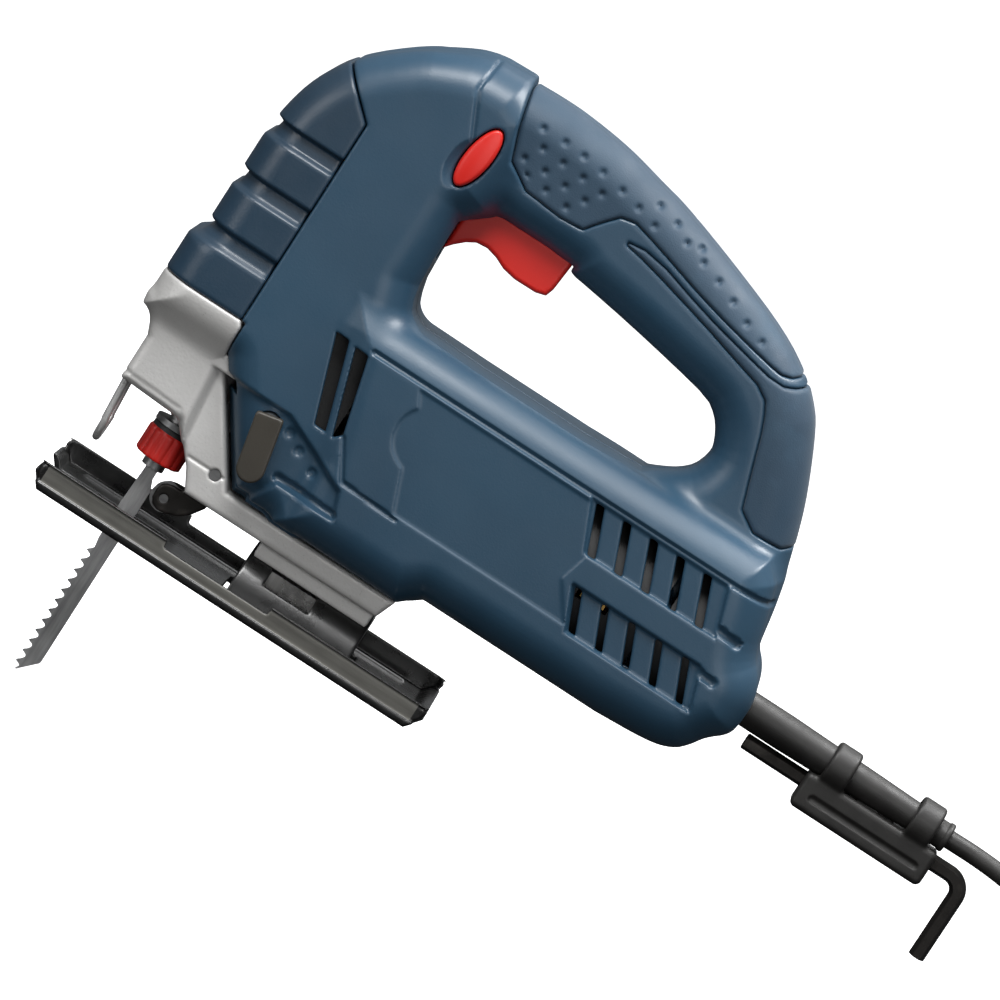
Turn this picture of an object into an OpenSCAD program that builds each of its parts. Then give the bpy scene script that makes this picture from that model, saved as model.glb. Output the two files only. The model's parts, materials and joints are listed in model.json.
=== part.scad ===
// Corded D-handle jigsaw, 236 mm long without its cord sleeve. Millimetres.
// +X runs back along the base plate, +Z up, and the tool's left side faces -Y.
// The origin is the cut point: the blade's line where it meets the sole plane.

/* [Casing] */
// Half width of the motor barrel
barrel_half_w = 33; // [31:0.5:34]
// Half width of the front column and of the ribbed cover
front_half_w = 28; // [27:0.5:30]
// Half width of the grip
grip_half_w = 18.5; // [17:0.5:20]
// Thickness of the casing walls
wall = 2.8; // [2:0.1:3]
// Radius that rounds the barrel's edges
barrel_round = 14; // [12:0.5:16]
// Radius that rounds the edges of the column and the grip
grip_round = 11; // [9:0.5:12]
// Depth of the rubber grip inlays
inlay = 1.4; // [1:0.1:1.6]
// Depth of the grooves between the ribs of the front cover
rib_depth = 2.8; // [2:0.1:3.2]

/* [Motor] */
// Height of the motor's axis above the sole
motor_z = 72; // [71.5:0.1:72.5]
// Radius of the stator stack
stator_r = 27; // [25:0.5:27]
// Radius of the rotor stack
rotor_r = 15.5; // [14:0.5:15.5]
// Radius of the cooling fan
fan_r = 25; // [22:0.5:26]
// Teeth on the motor's pinion
pinion_teeth = 8; // [8:1:8]
// Teeth on the driven gear
gear_teeth = 56; // [56:1:56]
// Module of the gear pair
gear_module = 0.8; // [0.8:0.1:0.8]

/* [Stroke] */
// Full stroke of the saw blade
stroke = 20; // [18:1:20]
// How far above its lowest point the blade rests
rest_lift = 2; // [1:0.5:4]
// Radius of the lifting rod
rod_r = 4.5; // [4:0.1:5]
// Radius of the clamping sleeve
sleeve_r = 8.5; // [8:0.1:8.6]
// Lowest point of the saw blade below the sole
blade_tip = 60; // [50:1:60]
// Width of the saw blade, tooth points to back
blade_w = 7.5; // [6:0.1:7.5]
// Thickness of the saw blade
blade_t = 1.3; // [1:0.1:1.4]
// Distance between two tooth points
tooth_pitch = 4; // [3:0.5:5]

/* [Base plate] */
// Half width of the base plate
base_half_w = 37.5; // [37:0.1:38]
// Thickness of the base plate's steel
base_t = 2.5; // [2:0.1:2.8]
// Height of the side flanges
flange_h = 9.6; // [8:0.1:10]
// Outer radius of the bevel arch around the tilt axis
arch_r = 20.4; // [20.4:0.1:20.4]
// Half width of the slot that the blade passes through
slot_half_w = 12; // [11:0.5:13]

/* [Controls] */
// Half width of the trigger
trigger_half_w = 9; // [8:0.5:9.5]
// How far the trigger is pulled
trigger_travel = 6; // [4:0.5:6]
// Half height of the lock button's oval face
lock_half_h = 11.5; // [10:0.5:12]

/* [Cord] */
// Diameter of the supply cord
cord_d = 6.5; // [6.5:0.1:6.5]
// Radius of the innermost turn of the stored coil
coil_r = 31; // [31:0.5:31]
// Turns that lie beside each other in the coil
coil_rows = 3; // [3:1:3]
// Layers of turns in the coil
coil_layers = 4; // [4:1:4]
// Width across flats of the hex key
key_af = 5; // [4:1:5]

/* [Hidden] */
// Places that several pieces share
rod_x = -1;                       // axis of the lifting rod
gear_z = motor_z + gear_module * (gear_teeth + pinion_teeth) / 2;
crank_r = stroke / 2;
crank_rest_z = rest_lift - crank_r;             // crank pin below the gear's axis at rest
crank_rest_y = sqrt(crank_r * crank_r - crank_rest_z * crank_rest_z);
crank_pin_r = 4;
gear_x = 14;
gear_w = 8;
back_wall_x = 30;
back_wall_t = 4;
shaft_r = 4;
rear_shaft_r = 3.5;
run_gap = 0.03;                   // radial clearance of the running fits
sleeve_bottom = 24.4;
sleeve_top = 36.5;
roller_r = 5;
roller_at = [8.1, 15.5];
fork_pivot = [18.5, 33];
orbit_at = [24.5, 58];
clamp_screw_x = 65;
base_travel = 10;
sleeve_z = 62;                    // axis of the cord sleeve and of the cord's exit
sleeve_end_x = 286;
key_z = 52.6;
key_arm_x = 298.5;
lock_at = [35, 168.7];
wheel_at = [67, 147.6];           // axis of the speed wheel
wheel_r = 8.1;
floor_z = -blade_tip;             // the surface that the cord's coil lies on
coil_at = [300, -2];
plug_x = 352;
plug_y = coil_at[1] + coil_r + (coil_rows - 1) * cord_d;
plug_z = floor_z + 9;
far = 400;                        // longer than anything in the tool
seam = 0.05;                      // half the gap between the two casing halves

blue = "#2f5070";
dark_blue = "#24405a";
red = "#df3328";
alloy = "#b5b4b0";
black = "#1d1d1c";
steel = "#8f9194";
copper = "#b4672c";
brass = "#b8953c";
rubber = "#2a2d30";

// ---------------------------------------------------------------- shared shapes

// An outline drawn in the XZ plane, extruded between two Y positions
module side_plate(y0, y1) {
    translate([0, y1, 0]) rotate([90, 0, 0]) linear_extrude(y1 - y0) children();
}

// An outline in the XZ plane as a slab whose edges are rounded with a ball
module soft_slab(half_w, r, skin = 0) {
    minkowski() {
        rotate([90, 0, 0]) linear_extrude(2 * (half_w - r), center = true)
            offset(delta = -r) children();
        sphere(r - skin, $fn = 12);
    }
}

// A cylinder along X from x0 to x1, at height z
module bar_x(x0, x1, r, z = 0, y = 0) {
    translate([x0, y, z]) rotate([0, 90, 0]) cylinder(h = x1 - x0, r = r, $fn = 48);
}

// A cylinder along Y from y0 to y1, at a point of the XZ plane
module bar_y(y0, y1, r, at) {
    translate([at[0], y1, at[1]]) rotate([90, 0, 0]) cylinder(h = y1 - y0, r = r, $fn = 48);
}

// A cylinder along Z from z0 to z1
module bar_z(z0, z1, r, x = 0, y = 0) {
    translate([x, y, z0]) cylinder(h = z1 - z0, r = r, $fn = 48);
}

// Points of a circle around the point p, square to the direction t
function cross_axis(t) = abs(t[1]) < 0.9 ? [0, 1, 0] : [0, 0, 1];
function unit(v) = v / norm(v);
function ring(p, t, r, sides) =
    let (u = unit(cross(cross_axis(t), t)), v = cross(t, u))
    [for (k = [0 : sides - 1]) p + r * (cos(360 * k / sides) * u + sin(360 * k / sides) * v)];

// A round tube swept through a list of points
module swept(path, r, sides) {
    last = len(path) - 1;
    dirs = [for (i = [0 : last]) unit(path[min(i + 1, last)] - path[max(i - 1, 0)])];
    points = [for (i = [0 : last]) each ring(path[i], dirs[i], r, sides)];
    walls = [for (i = [0 : last - 1]) for (k = [0 : sides - 1])
        let (a = i * sides + k, b = i * sides + (k + 1) % sides)
        each [[a, b, b + sides], [a, b + sides, a + sides]]];
    start_cap = [for (k = [sides - 1 : -1 : 0]) k];
    end_cap = [for (k = [0 : sides - 1]) last * sides + k];
    polyhedron(points, concat([start_cap], walls, [end_cap]), convexity = 6);
}

// A helical spring along +Z
module coil_spring(length, r, wire_r, turns) {
    steps = 8;
    path = [for (i = [0 : turns * steps])
        [r * cos(360 * i / steps), r * sin(360 * i / steps), length * i / (turns * steps)]];
    swept(path, wire_r, 5);
}

// The toothed outline of a gear, one trapezium for each tooth
module gear_outline(teeth) {
    pitch_r = gear_module * teeth / 2;
    root_r = pitch_r - 1.2 * gear_module;
    tip_r = pitch_r + 0.8 * gear_module;
    step = 360 / teeth;
    polygon([for (k = [0 : teeth - 1]) each [
        root_r * [cos(step * (k - 0.34)), sin(step * (k - 0.34))],
        tip_r * [cos(step * (k - 0.11)), sin(step * (k - 0.11))],
        tip_r * [cos(step * (k + 0.11)), sin(step * (k + 0.11))],
        root_r * [cos(step * (k + 0.34)), sin(step * (k + 0.34))]]]);
}

// ---------------------------------------------------------------- casing outlines

// The front column with the gear head's top band, seen from the side
module front_outline() {
    polygon([[-32, 68], [-32, 96], [-28.5, 104], [-28.5, 135], [-27.5, 148], [-24, 161],
        [-17, 172.7], [0, 187.3], [10, 192.3], [20, 196.4], [35, 197], [50, 190], [45, 155],
        [40.5, 150], [40.5, 122], [48, 100], [52, 60], [50, 31], [25, 31], [0, 68]]);
}

// The D-shaped loop of grip and rear column
module loop_outline() {
    difference() {
        polygon([[2, 120], [6, 184], [20, 196.4], [35, 197], [50, 197.6], [60, 197.1],
            [75, 195.4], [90, 191.8], [100, 189.8], [125, 181.7], [150, 172.5], [164, 164.1],
            [170, 158.5], [175, 152.5], [185, 131.8], [190, 117.7], [194, 104], [196, 90],
            [196, 60], [40, 60]]);
        opening_outline();
    }
}

// The opening that the fingers go through
module opening_outline() {
    polygon([[40.5, 154], [40.5, 125], [43, 114.5], [46, 111.5], [52, 109.3], [133, 109.3],
        [140, 113.5], [145, 116.5], [148.5, 120], [150.3, 125], [150.3, 129], [148, 134],
        [145, 138], [140, 141.5], [125, 144.5], [105, 148], [88, 150.5], [80, 151.5], [79, 154]]);
}

// The motor barrel and its rear end cap
module barrel_outline() {
    polygon([[42, 31], [91, 30.3], [94, 33], [98, 36.3], [165, 36.3], [185, 37.5], [193, 40],
        [197, 44], [200, 49], [206, 54], [207, 59], [207, 68], [204, 75], [199, 80], [196, 92],
        [192, 104], [186, 110], [27, 110], [27, 100], [40, 58]]);
}

// Everything behind the ribbed cover and above the gear head
module casing_region() {
    polygon([[-17, 172.7], [-1, 158], [-1, 82], [0.5, 82], [0.5, 68], [22, 36], [25.5, 31],
        [25.5, 20], [220, 20], [220, 220], [-17, 220]]);
}

// The whole closed form of the casing, taken in by a skin thickness
module casing_form(skin = 0) {
    soft_slab(front_half_w, grip_round, skin) front_outline();
    soft_slab(grip_half_w, grip_round, skin) loop_outline();
    soft_slab(barrel_half_w, barrel_round, skin) barrel_outline();
}

// The slanted cooling slots, behind the gear head and at the rear
module vent_outline() {
    polygon([[27, 96], [32, 96], [41.5, 66.5], [37, 66.5]]);
    polygon([[35, 96], [40, 96], [46.5, 68], [44, 66.5]]);
    for (k = [0 : 4]) {
        translate([128 + 10.4 * k, 0]) polygon([[0, 95.5], [3.4, 95.5], [9.8, 80], [6.4, 80]]);
        translate([137.2 + 10.4 * k, 0]) polygon([[0, 69], [3, 69], [8.8, 55.5], [5.8, 55.5]]);
    }
}

// The dimpled front pad and the smooth rear pad of the grip
module grip_outline() {
    polygon([[36.5, 199], [39, 188], [46.5, 168], [75, 165.5], [79, 171], [86, 179],
        [100, 175.5], [124, 168.5], [150, 163], [158, 161.8], [164, 166], [172, 170], [120, 200]]);
    polygon([[88, 171], [100, 169], [126, 162.5], [140, 158.5], [155, 154.5], [160, 146],
        [165, 131], [171, 114], [192, 114], [196, 130], [176, 170], [164, 161], [157, 158.5],
        [140, 162], [124, 165.5], [100, 172.5]]);
}

screw_points = [[8, 178], [18, 160], [88, 104], [158, 104], [104, 184], [158.5, 137], [176, 46],
    [134, 43], [60, 37.5]];

// The slot that the roller fork swings in
module fork_slot() {
    side_plate(-6.5, 6.5) polygon([[8, 10], [27, 10], [27, 44], [23, 50], [30, 50], [30, 62.8],
        [12, 62.8], [8, 60]]);
}

// The lower flanks of the barrel that the tilted base plate swings past
module tilt_relief(r, y0, x1) {
    for (s = [-1, 1]) intersection() {
        bar_x(0, x1, r);
        side_plate(s < 0 ? -far : y0, s < 0 ? -y0 : far)
            polygon([[0, 20], [x1, 20], [x1, 45], [0, 45]]);
    }
}

// One half of the casing: side -1 is the left half, side 1 the right
module casing_half(side) {
    difference() {
        intersection() {
            difference() {
                casing_form();
                difference() {
                    casing_form(wall);
                    tilt_relief(39.3 + wall, 17.4 - wall, 97 + wall);
                    for (x = [78, 114]) side_web(x, stator_r + 0.1);
                    side_web(164, 12.1);
                    for (p = screw_points) bar_y(-far, far, 4.2, p);
                }
            }
            side_plate(side < 0 ? -far : seam, side < 0 ? -seam : far) casing_region();
        }
        side_plate(side < 0 ? -far : 20, side < 0 ? -20 : far) vent_outline();
        side_plate(-trigger_half_w - 0.5, trigger_half_w + 0.5)
            polygon([[39.5, 130], [81, 130], [81, 158.5], [39.5, 158.5]]);
        bar_x(190, 220, 6.6, sleeve_z);
        tilt_relief(39.3, 17.4, 97);
        difference() {
            side_plate(side < 0 ? -far : 0, side < 0 ? 0 : far) offset(delta = 0.1)
                grip_outline();
            soft_slab(grip_half_w, grip_round, inlay + 0.1) loop_outline();
        }
        for (p = screw_points) {
            bar_y(-9, far, 1.9, p);
            bar_y(12, far, 3.9, p);
        }
        if (side < 0) {
            lock_face(-far, -12, 0.4);
            bar_y(-far, -20, 4.4, orbit_at);
        }
        side_plate(-16, 16) polygon([[52, 157.5], [96, 157.5], [96, 183], [52, 183]]);
        side_plate(-20.6, 20.6) polygon([[-20, 60], [35, 60], [35, 154], [-20, 154]]);
        bar_z(50, 61, 9.4, rod_x);
        fork_slot();
    }
}

// A ring inside the barrel that seats the stator or the rear bearing
module side_web(x, seat_r) {
    difference() {
        bar_x(x, x + 3, 31, motor_z);
        bar_x(x - 1, x + 4, seat_r, motor_z);
    }
}

// The oval of the lock button, grown by a gap
module lock_face(y0, y1, gap = 0) {
    side_plate(y0, y1) translate(lock_at) rotate(-8)
        scale([(4.3 + gap) / lock_half_h, (lock_half_h + gap) / lock_half_h])
            circle(lock_half_h, $fn = 32);
}

// ---------------------------------------------------------------- casing parts

module left_housing() { color(blue) casing_half(-1); }
module right_housing() { color(blue) casing_half(1); }

module front_cover() {
    grooves = [140.5, 120.5, 100.5];
    color(dark_blue) difference() {
        intersection() {
            soft_slab(front_half_w, grip_round) front_outline();
            side_plate(-far, far) polygon([[-60, 82.2], [-1.3, 82.2], [-1.3, 157.8],
                [-17.5, 172.4], [-60, 172.4]]);
        }
        soft_slab(front_half_w, grip_round, wall) front_outline();
        difference() {
            for (z = grooves) translate([-60, -far / 2, z - 2]) cube([58, far, 4]);
            soft_slab(front_half_w, grip_round, min(rib_depth, wall - 0.8)) front_outline();
        }
    }
}

// The rubber inlay of one side of the grip
module grip_inlay(side) {
    color(dark_blue) intersection() {
        difference() {
            soft_slab(grip_half_w, grip_round) loop_outline();
            soft_slab(grip_half_w, grip_round, inlay) loop_outline();
        }
        difference() {
            side_plate(side < 0 ? -far : seam, side < 0 ? -seam : far) grip_outline();
            if (side > 0) for (p = screw_points) bar_y(12, far, 3.9, p);
        }
    }
}
module left_grip() { grip_inlay(-1); }
module right_grip() { grip_inlay(1); }

module housing_screws() {
    color(steel) for (p = screw_points) {
        bar_y(-7, 12.3, 1.6, p);
        difference() {
            bar_y(12.2, 14.8, 3.5, p);
            bar_y(13.4, 15, 1.5, p);
        }
    }
}

// ---------------------------------------------------------------- gear head

module gear_housing() {
    color(alloy) difference() {
        union() {
            // top band
            intersection() {
                soft_slab(front_half_w, grip_round) front_outline();
                side_plate(-far, far) polygon([[-32, 68.2], [-32, 82], [-1.3, 82], [0, 80],
                    [0, 68.2]]);
            }
            // hood and leg
            side_plate(-20, 20) polygon([[-30.5, 72], [-28, 67], [-25, 60], [-25, 43.5],
                [-5, 42.5], [-1, 42], [3.5, 37], [0.2, 67.8], [0, 72]]);
            side_plate(-17, 17) polygon([[-10, 60], [-1, 42], [9, 30], [12.5, 23.7], [13, 22.5],
                [88, 22.5], [91, 30.2], [25, 30.2], [21.6, 35.5], [0.2, 67.5]]);
            // keel that the bevel arch turns on
            side_plate(-12, 12) polygon([[43, 14], [87, 14], [87, 23], [43, 23]]);
            // internal tub: floor, back wall and top arm
            side_plate(-20, 20) polygon([[-24, 63.5], [back_wall_x, 63.5], [back_wall_x, 67],
                [-24, 71]]);
            side_plate(-20, 20) polygon([[back_wall_x, 60.5], [back_wall_x + back_wall_t, 60.5],
                [back_wall_x + back_wall_t, 150], [back_wall_x, 150]]);
            side_plate(-9, 9) polygon([[-10, 130], [back_wall_x + 1, 130], [back_wall_x + 1, 142],
                [-10, 142]]);
            bar_z(58, 72, 9, rod_x);
            bar_x(back_wall_x, 42.5, 13, motor_z);
            bar_x(24, back_wall_x + 1, 8, gear_z);
        }
        // hollow of the top band and of the hood
        side_plate(-25.2, 25.2) polygon([[-28, 73], [-1.5, 73], [-1.5, 90], [-28, 90]]);
        side_plate(-12, 12) polygon([[-22, 30], [-22, 57.5], [8.6, 57.5], [8.6, 44], [12, 30]]);
        side_plate(-12, 12) polygon([[-22, 20], [-22, 31], [12, 31], [13.2, 20]]);
        fork_slot();
        bar_x(40, 90, arch_r + 0.05);
        bar_z(40, 160, 6.5, rod_x);
        side_plate(-18, 18) polygon([[-7, 79], [4, 79], [4, 90], [-7, 90]]);
        bar_x(20, 60, 11 + run_gap, motor_z);
        bar_x(10, 24, 5, motor_z);
        bar_x(10, 60, shaft_r, gear_z);
        bar_z(0, 40, 3.05, clamp_screw_x);
        bar_y(-20, 20, 2, fork_pivot);
        bar_y(-21, 0, 4.4, orbit_at);
        for (y = [-8, 8]) bar_z(30, 56, 1.7, -23.6, y);
        for (z = [84, 140]) for (y = [-15, 15]) bar_x(20, 50, 2.05, z, y);
    }
}

module gear_housing_screws() {
    color(steel) for (z = [84, 140]) for (y = [-15, 15]) {
        bar_x(24, 34.2, 2.03, z, y);
        difference() {
            bar_x(34.05, 37, 3.6, z, y);
            bar_x(35.6, 38, 1.4, z, y);
        }
    }
}

// A plain bush around the lifting rod
module rod_bush(z0, z1) {
    color(brass) difference() {
        bar_z(z0, z1, 6.48, rod_x);
        bar_z(z0 - 1, z1 + 1, rod_r + run_gap, rod_x);
    }
}
module lower_guide_bush() { rod_bush(61.5, 72); }
module upper_guide_bush() { rod_bush(130, 142); }

module rod_seal() {
    color(rubber) difference() {
        bar_z(58.2, 61.4, 6.4, rod_x);
        bar_z(58, 62, rod_r + 0.08, rod_x);
    }
}

module gear_spindle() { color(steel) bar_x(12, 33.5, shaft_r - 0.01, gear_z); }

module drive_gear() {
    color(steel) difference() {
        union() {
            translate([gear_x, 0, gear_z]) rotate([0, 90, 0]) linear_extrude(gear_w)
                gear_outline(gear_teeth);
            bar_x(gear_x, 23.7, 7, gear_z);
        }
        bar_x(10, 30, shaft_r + run_gap, gear_z);
        for (a = [60 : 60 : 300]) rotate_about_gear(a)
            bar_x(10, 30, 3.2, 14);
        rotate_about_gear(0) bar_x(10, 30, 2.5, crank_r);
    }
}

// Turns a shape drawn on the gear's axis to an angle from the crank pin, and puts it there
module rotate_about_gear(a) {
    lean = atan2(crank_rest_y, crank_rest_z);
    translate([0, 0, gear_z]) rotate([-lean - a, 0, 0]) children();
}

module crank_pin() {
    color(steel) rotate_about_gear(0) {
        bar_x(9, gear_x + gear_w, 2.48, crank_r);
        difference() {
            bar_x(5.7, 13.6, crank_pin_r, crank_r);
            bar_x(8.9, 14, 2.5, crank_r);
        }
    }
}

// ---------------------------------------------------------------- stroke parts

module lifting_rod() {
    yoke_z = gear_z + crank_rest_z;
    color(steel) difference() {
        union() {
            bar_z(40, 145, rod_r, rod_x);
            side_plate(-17, 17) polygon([[-5, yoke_z - 7], [5, yoke_z - 7], [5, yoke_z + 7],
                [-5, yoke_z + 7]]);
        }
        translate([1, -14.3, yoke_z - crank_pin_r - 0.1])
            cube([5, 28.6, 2 * crank_pin_r + 0.2]);
    }
}

module blade_holder() {
    color(steel) difference() {
        union() {
            bar_z(sleeve_bottom - 3, 40, 4, rod_x);
            bar_z(sleeve_top, sleeve_top + 2, 8, rod_x);
        }
        translate([-6, -blade_t / 2, 10]) cube([9, blade_t, 24]);
    }
}

module clamp_spring() {
    color(steel) translate([rod_x, 0, 26]) coil_spring(9, 5.3, 0.45, 4);
}

module clamp_sleeve() {
    color(red) difference() {
        union() {
            bar_z(sleeve_bottom, sleeve_top - 0.1, sleeve_r - 0.5, rod_x);
            for (a = [0 : 30 : 330]) translate([rod_x, 0, sleeve_bottom]) rotate(a)
                translate([sleeve_r - 1.6, 0, 0])
                    cylinder(h = sleeve_top - sleeve_bottom - 0.1, r = 1.5, $fn = 24);
        }
        bar_z(sleeve_bottom - 1, 35.5, 6, rod_x);
        bar_z(30, 40, 4 + run_gap, rod_x);
    }
}

module saw_blade() {
    back_x = rod_x + 4;
    tooth_x = back_x - blade_w;
    teeth = floor((blade_tip - 12) / tooth_pitch);
    color(steel) side_plate(-blade_t / 2, blade_t / 2) union() {
        polygon([[back_x, 14], [back_x, -blade_tip + 6], [tooth_x + 1.2, -blade_tip],
            [tooth_x + 1.2, -8], [tooth_x + 1, 6], [tooth_x + 1.6, 20], [rod_x - 2.4, 32],
            [rod_x + 2.4, 32], [rod_x + 2.4, 18]]);
        for (k = [0 : teeth - 1]) translate([tooth_x, -blade_tip + 1 + k * tooth_pitch])
            polygon([[1.3, 0], [0, 1.6], [1.3, tooth_pitch]]);
    }
}

module roller_fork() {
    color(black) difference() {
        side_plate(-5.6, 5.6) polygon([[4.6, 12.5], [4.2, 18.5], [7, 20.8], [13.4, 21.2],
            [14, 36], [15, 52], [19.6, 52], [20, 38], [22.6, 37], [22.8, 22], [17, 13.5],
            [9, 10.6]]);
        side_plate(-3.2, 3.2) polygon([[0, 5], [14.2, 5], [14.2, 21.5], [0, 22]]);
        bar_y(-10, 10, 2, fork_pivot);
        bar_y(-10, 10, 1.5, roller_at);
    }
}

module fork_pin() { color(steel) bar_y(-16.8, 16.8, 1.97, fork_pivot); }
module roller_pin() { color(steel) bar_y(-5.6, 5.6, 1.5, roller_at); }

module guide_roller() {
    color(steel) difference() {
        bar_y(-3.1, 3.1, roller_r, roller_at);
        bar_y(-4, 4, 1.5 + run_gap, roller_at);
    }
}

module orbit_lever() {
    tip = [28, 44];
    color("#3b342e") side_plate(-33.4, -29.4) union() {
        difference() {
            hull() {
                translate(orbit_at) circle(5.6, $fn = 32);
                translate(tip) circle(5, $fn = 32);
            }
            translate(orbit_at) circle(2.5, $fn = 6);
        }
    }
}

module orbit_shaft() {
    color(steel) {
        bar_y(-29.4, -6.8, 4, orbit_at);
        side_plate(-33.2, -29.4) translate(orbit_at) circle(2.45, $fn = 6);
    }
}

module blade_guard() {
    path = [[-23.6, -8, 54], [-23.6, -8, 44], [-22.4, -8, 38], [-21.5, -8, 30], [-21.5, -7.4, 23],
        [-21.5, -5, 20.6], [-21.5, 0, 20], [-21.5, 5, 20.6], [-21.5, 7.4, 23], [-21.5, 8, 30],
        [-22.4, 8, 38], [-23.6, 8, 44], [-23.6, 8, 54]];
    color(steel) swept(path, 1.3, 10);
}

// ---------------------------------------------------------------- base plate

module base_plate() {
    w = base_half_w;
    color(black) difference() {
        union() {
            difference() {
                side_plate(-w, w) polygon([[-27.5, 0], [-33, 7], [-33, flange_h], [121, flange_h],
                    [121, 7], [115, 0]]);
                side_plate(base_t - w, w - base_t) polygon([[-26.5, base_t], [-30.5, 7.5],
                    [-30.5, 20], [118.5, 20], [118.5, 8], [113.8, base_t]]);
                // lowered edges where the leg swings past
                for (s = [-1, 1]) translate([18, s * w - 5, 6.8]) cube([40, 10, 10]);
                // low front and rear walls
                for (x = [-40, 116]) translate([x, base_t - w, 6]) cube([12, 2 * (w - base_t), 9]);
            }
            intersection() {
                bar_x(42, 88, arch_r);
                translate([40, -30, 0]) cube([50, 60, 30]);
            }
        }
        bar_x(44.5, 85.5, arch_r - base_t);
        bar_x(40, 50, arch_r - base_t);
        bar_x(80, 90, arch_r - base_t);
        // slot for the blade, open to the front
        translate([-50, -slot_half_w, -5]) cube([64, 2 * slot_half_w, 20]);
        // window for the clamping screw, long enough for tilt and travel
        intersection() {
            translate([51.4, -30, 10]) cube([17.2, 60, 20]);
            side_window();
        }
    }
}

// A wedge around the tilt axis that clears the screw over the whole bevel
module side_window() {
    rotate([90, 0, 90]) linear_extrude(100) polygon([[0, 0], [-30, 20], [-30, 30], [30, 30],
        [30, 20]]);
}

module base_clamp() {
    color(steel) difference() {
        intersection() {
            difference() {
                bar_x(46, 84, arch_r - base_t - 0.05);
                bar_x(40, 90, 12.9);
            }
            translate([40, -9, 8]) cube([50, 18, 20]);
        }
        translate([0, 0, 5]) {
            bar_z(0, 30, 3.3, clamp_screw_x);
            bar_z(0, 30, 3.3, clamp_screw_x - base_travel);
            translate([clamp_screw_x - base_travel, -3.3, 0]) cube([base_travel, 6.6, 30]);
        }
    }
}

module base_screw() {
    color(steel) difference() {
        union() {
            bar_z(9, 28, 3, clamp_screw_x);
            bar_z(5.5, 11.2, 5, clamp_screw_x);
        }
        translate([clamp_screw_x, 0, 5]) cylinder(h = 4, r = key_af / 2 / cos(30), $fn = 6);
    }
}

// ---------------------------------------------------------------- motor

module rotor_shaft() {
    color(steel) {
        bar_x(24, 42, shaft_r - 0.02, motor_z);
        translate([gear_x - 1.5, 0, motor_z]) rotate([180 / pinion_teeth, 0, 0])
            rotate([0, 90, 0]) linear_extrude(gear_w + 3) gear_outline(pinion_teeth);
        bar_x(42, 160, shaft_r, motor_z);
        bar_x(160, 171, rear_shaft_r, motor_z);
    }
}

module rotor_core() {
    color(steel) difference() {
        bar_x(78, 118, rotor_r, motor_z);
        for (a = [0 : 30 : 330]) rotor_slot(a);
        bar_x(70, 130, shaft_r + 0.01, motor_z);
    }
}

// One winding slot of the rotor, at an angle around the shaft
module rotor_slot(a) {
    translate([70, 0, motor_z]) rotate([a, 0, 0]) translate([0, -1.2, 8]) cube([60, 2.4, 9]);
}

module rotor_windings() {
    color(copper) for (x = [66, 118.1]) difference() {
        bar_x(x, x + 11.8, 13.2, motor_z);
        bar_x(x - 1, x + 13, shaft_r + 0.02, motor_z);
    }
}

module commutator() {
    color(copper) difference() {
        bar_x(137, 152, 11, motor_z);
        for (a = [0 : 15 : 345]) translate([136, 0, motor_z]) rotate([a, 0, 0])
            translate([0, -0.25, 9.6]) cube([17, 0.5, 3]);
        bar_x(130, 160, shaft_r + 0.01, motor_z);
    }
}

module cooling_fan() {
    blades = 17;
    color("#3a3a38") difference() {
        union() {
            bar_x(44.5, 60, 8, motor_z);
            bar_x(57.5, 60, fan_r, motor_z);
            for (k = [0 : blades - 1]) translate([46, 0, motor_z]) rotate([360 * k / blades, 0, 0])
                translate([0, -0.7, 7]) cube([12, 1.4, fan_r - 7.6]);
        }
        bar_x(40, 70, shaft_r + 0.01, motor_z);
    }
}

module fan_shroud() {
    color(black) difference() {
        bar_x(61.5, 63.5, 27, motor_z);
        bar_x(60, 66, 20, motor_z);
    }
}

// Walls inside the casing that lead the air from the slots past the motor
module air_guides() {
    color(black) {
        for (s = [-1, 1]) side_plate(s < 0 ? -21.3 : 20.1, s < 0 ? -20.1 : 21.3)
            polygon([[26, 63], [43.9, 63], [43.9, 97], [26, 97]]);
        difference() {
            intersection() {
                bar_x(122, 189, 29.8, motor_z);
                side_plate(-far, far) polygon([[122, 51.5], [189, 51.5], [189, 72], [183, 78],
                    [183, 96], [122, 96]]);
            }
            bar_x(120, 190, 28.6, motor_z);
            translate([163.9, -far / 2, 0]) cube([3.2, far, far]);
            translate([138.5, -far / 2, 66]) cube([12, far, 12]);
        }
    }
}

// A bearing: a ring that the shaft runs in
module ball_bearing(x, width, outer_r, inner_r) {
    color(steel) difference() {
        bar_x(x, x + width, outer_r, motor_z);
        bar_x(x - 1, x + width + 1, inner_r, motor_z);
        for (side = [-0.1, width - 0.9]) difference() {
            bar_x(x + side, x + side + 1, outer_r - 2, motor_z);
            bar_x(x + side - 1, x + side + 2, inner_r + 2, motor_z);
        }
    }
}
module front_bearing() { ball_bearing(34.5, 7, 11, shaft_r - 0.02 + run_gap); }
module rear_bearing() { ball_bearing(162, 6, 9.5, rear_shaft_r + run_gap); }

module bearing_cup() {
    color(rubber) difference() {
        bar_x(161, 174, 12, motor_z);
        bar_x(160, 168.2, 9.52, motor_z);
        bar_x(160, 172.5, 7, motor_z);
    }
}

module stator_core() {
    color("#6f7173") difference() {
        bar_x(76, 120, stator_r, motor_z);
        bar_x(70, 130, rotor_r + 0.6, motor_z);
        for (s = [-1, 1]) translate([70, s * 20 - 3.5, motor_z - 13]) cube([60, 7, 26]);
    }
}

module field_coils() {
    color(copper) for (s = [-1, 1]) difference() {
        translate([69, s * 20 - 3.2, motor_z - 12.7]) cube([58, 6.4, 25.4]);
        translate([74, s * 20 - 4, motor_z - 6]) cube([48, 8, 12]);
    }
}

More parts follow.
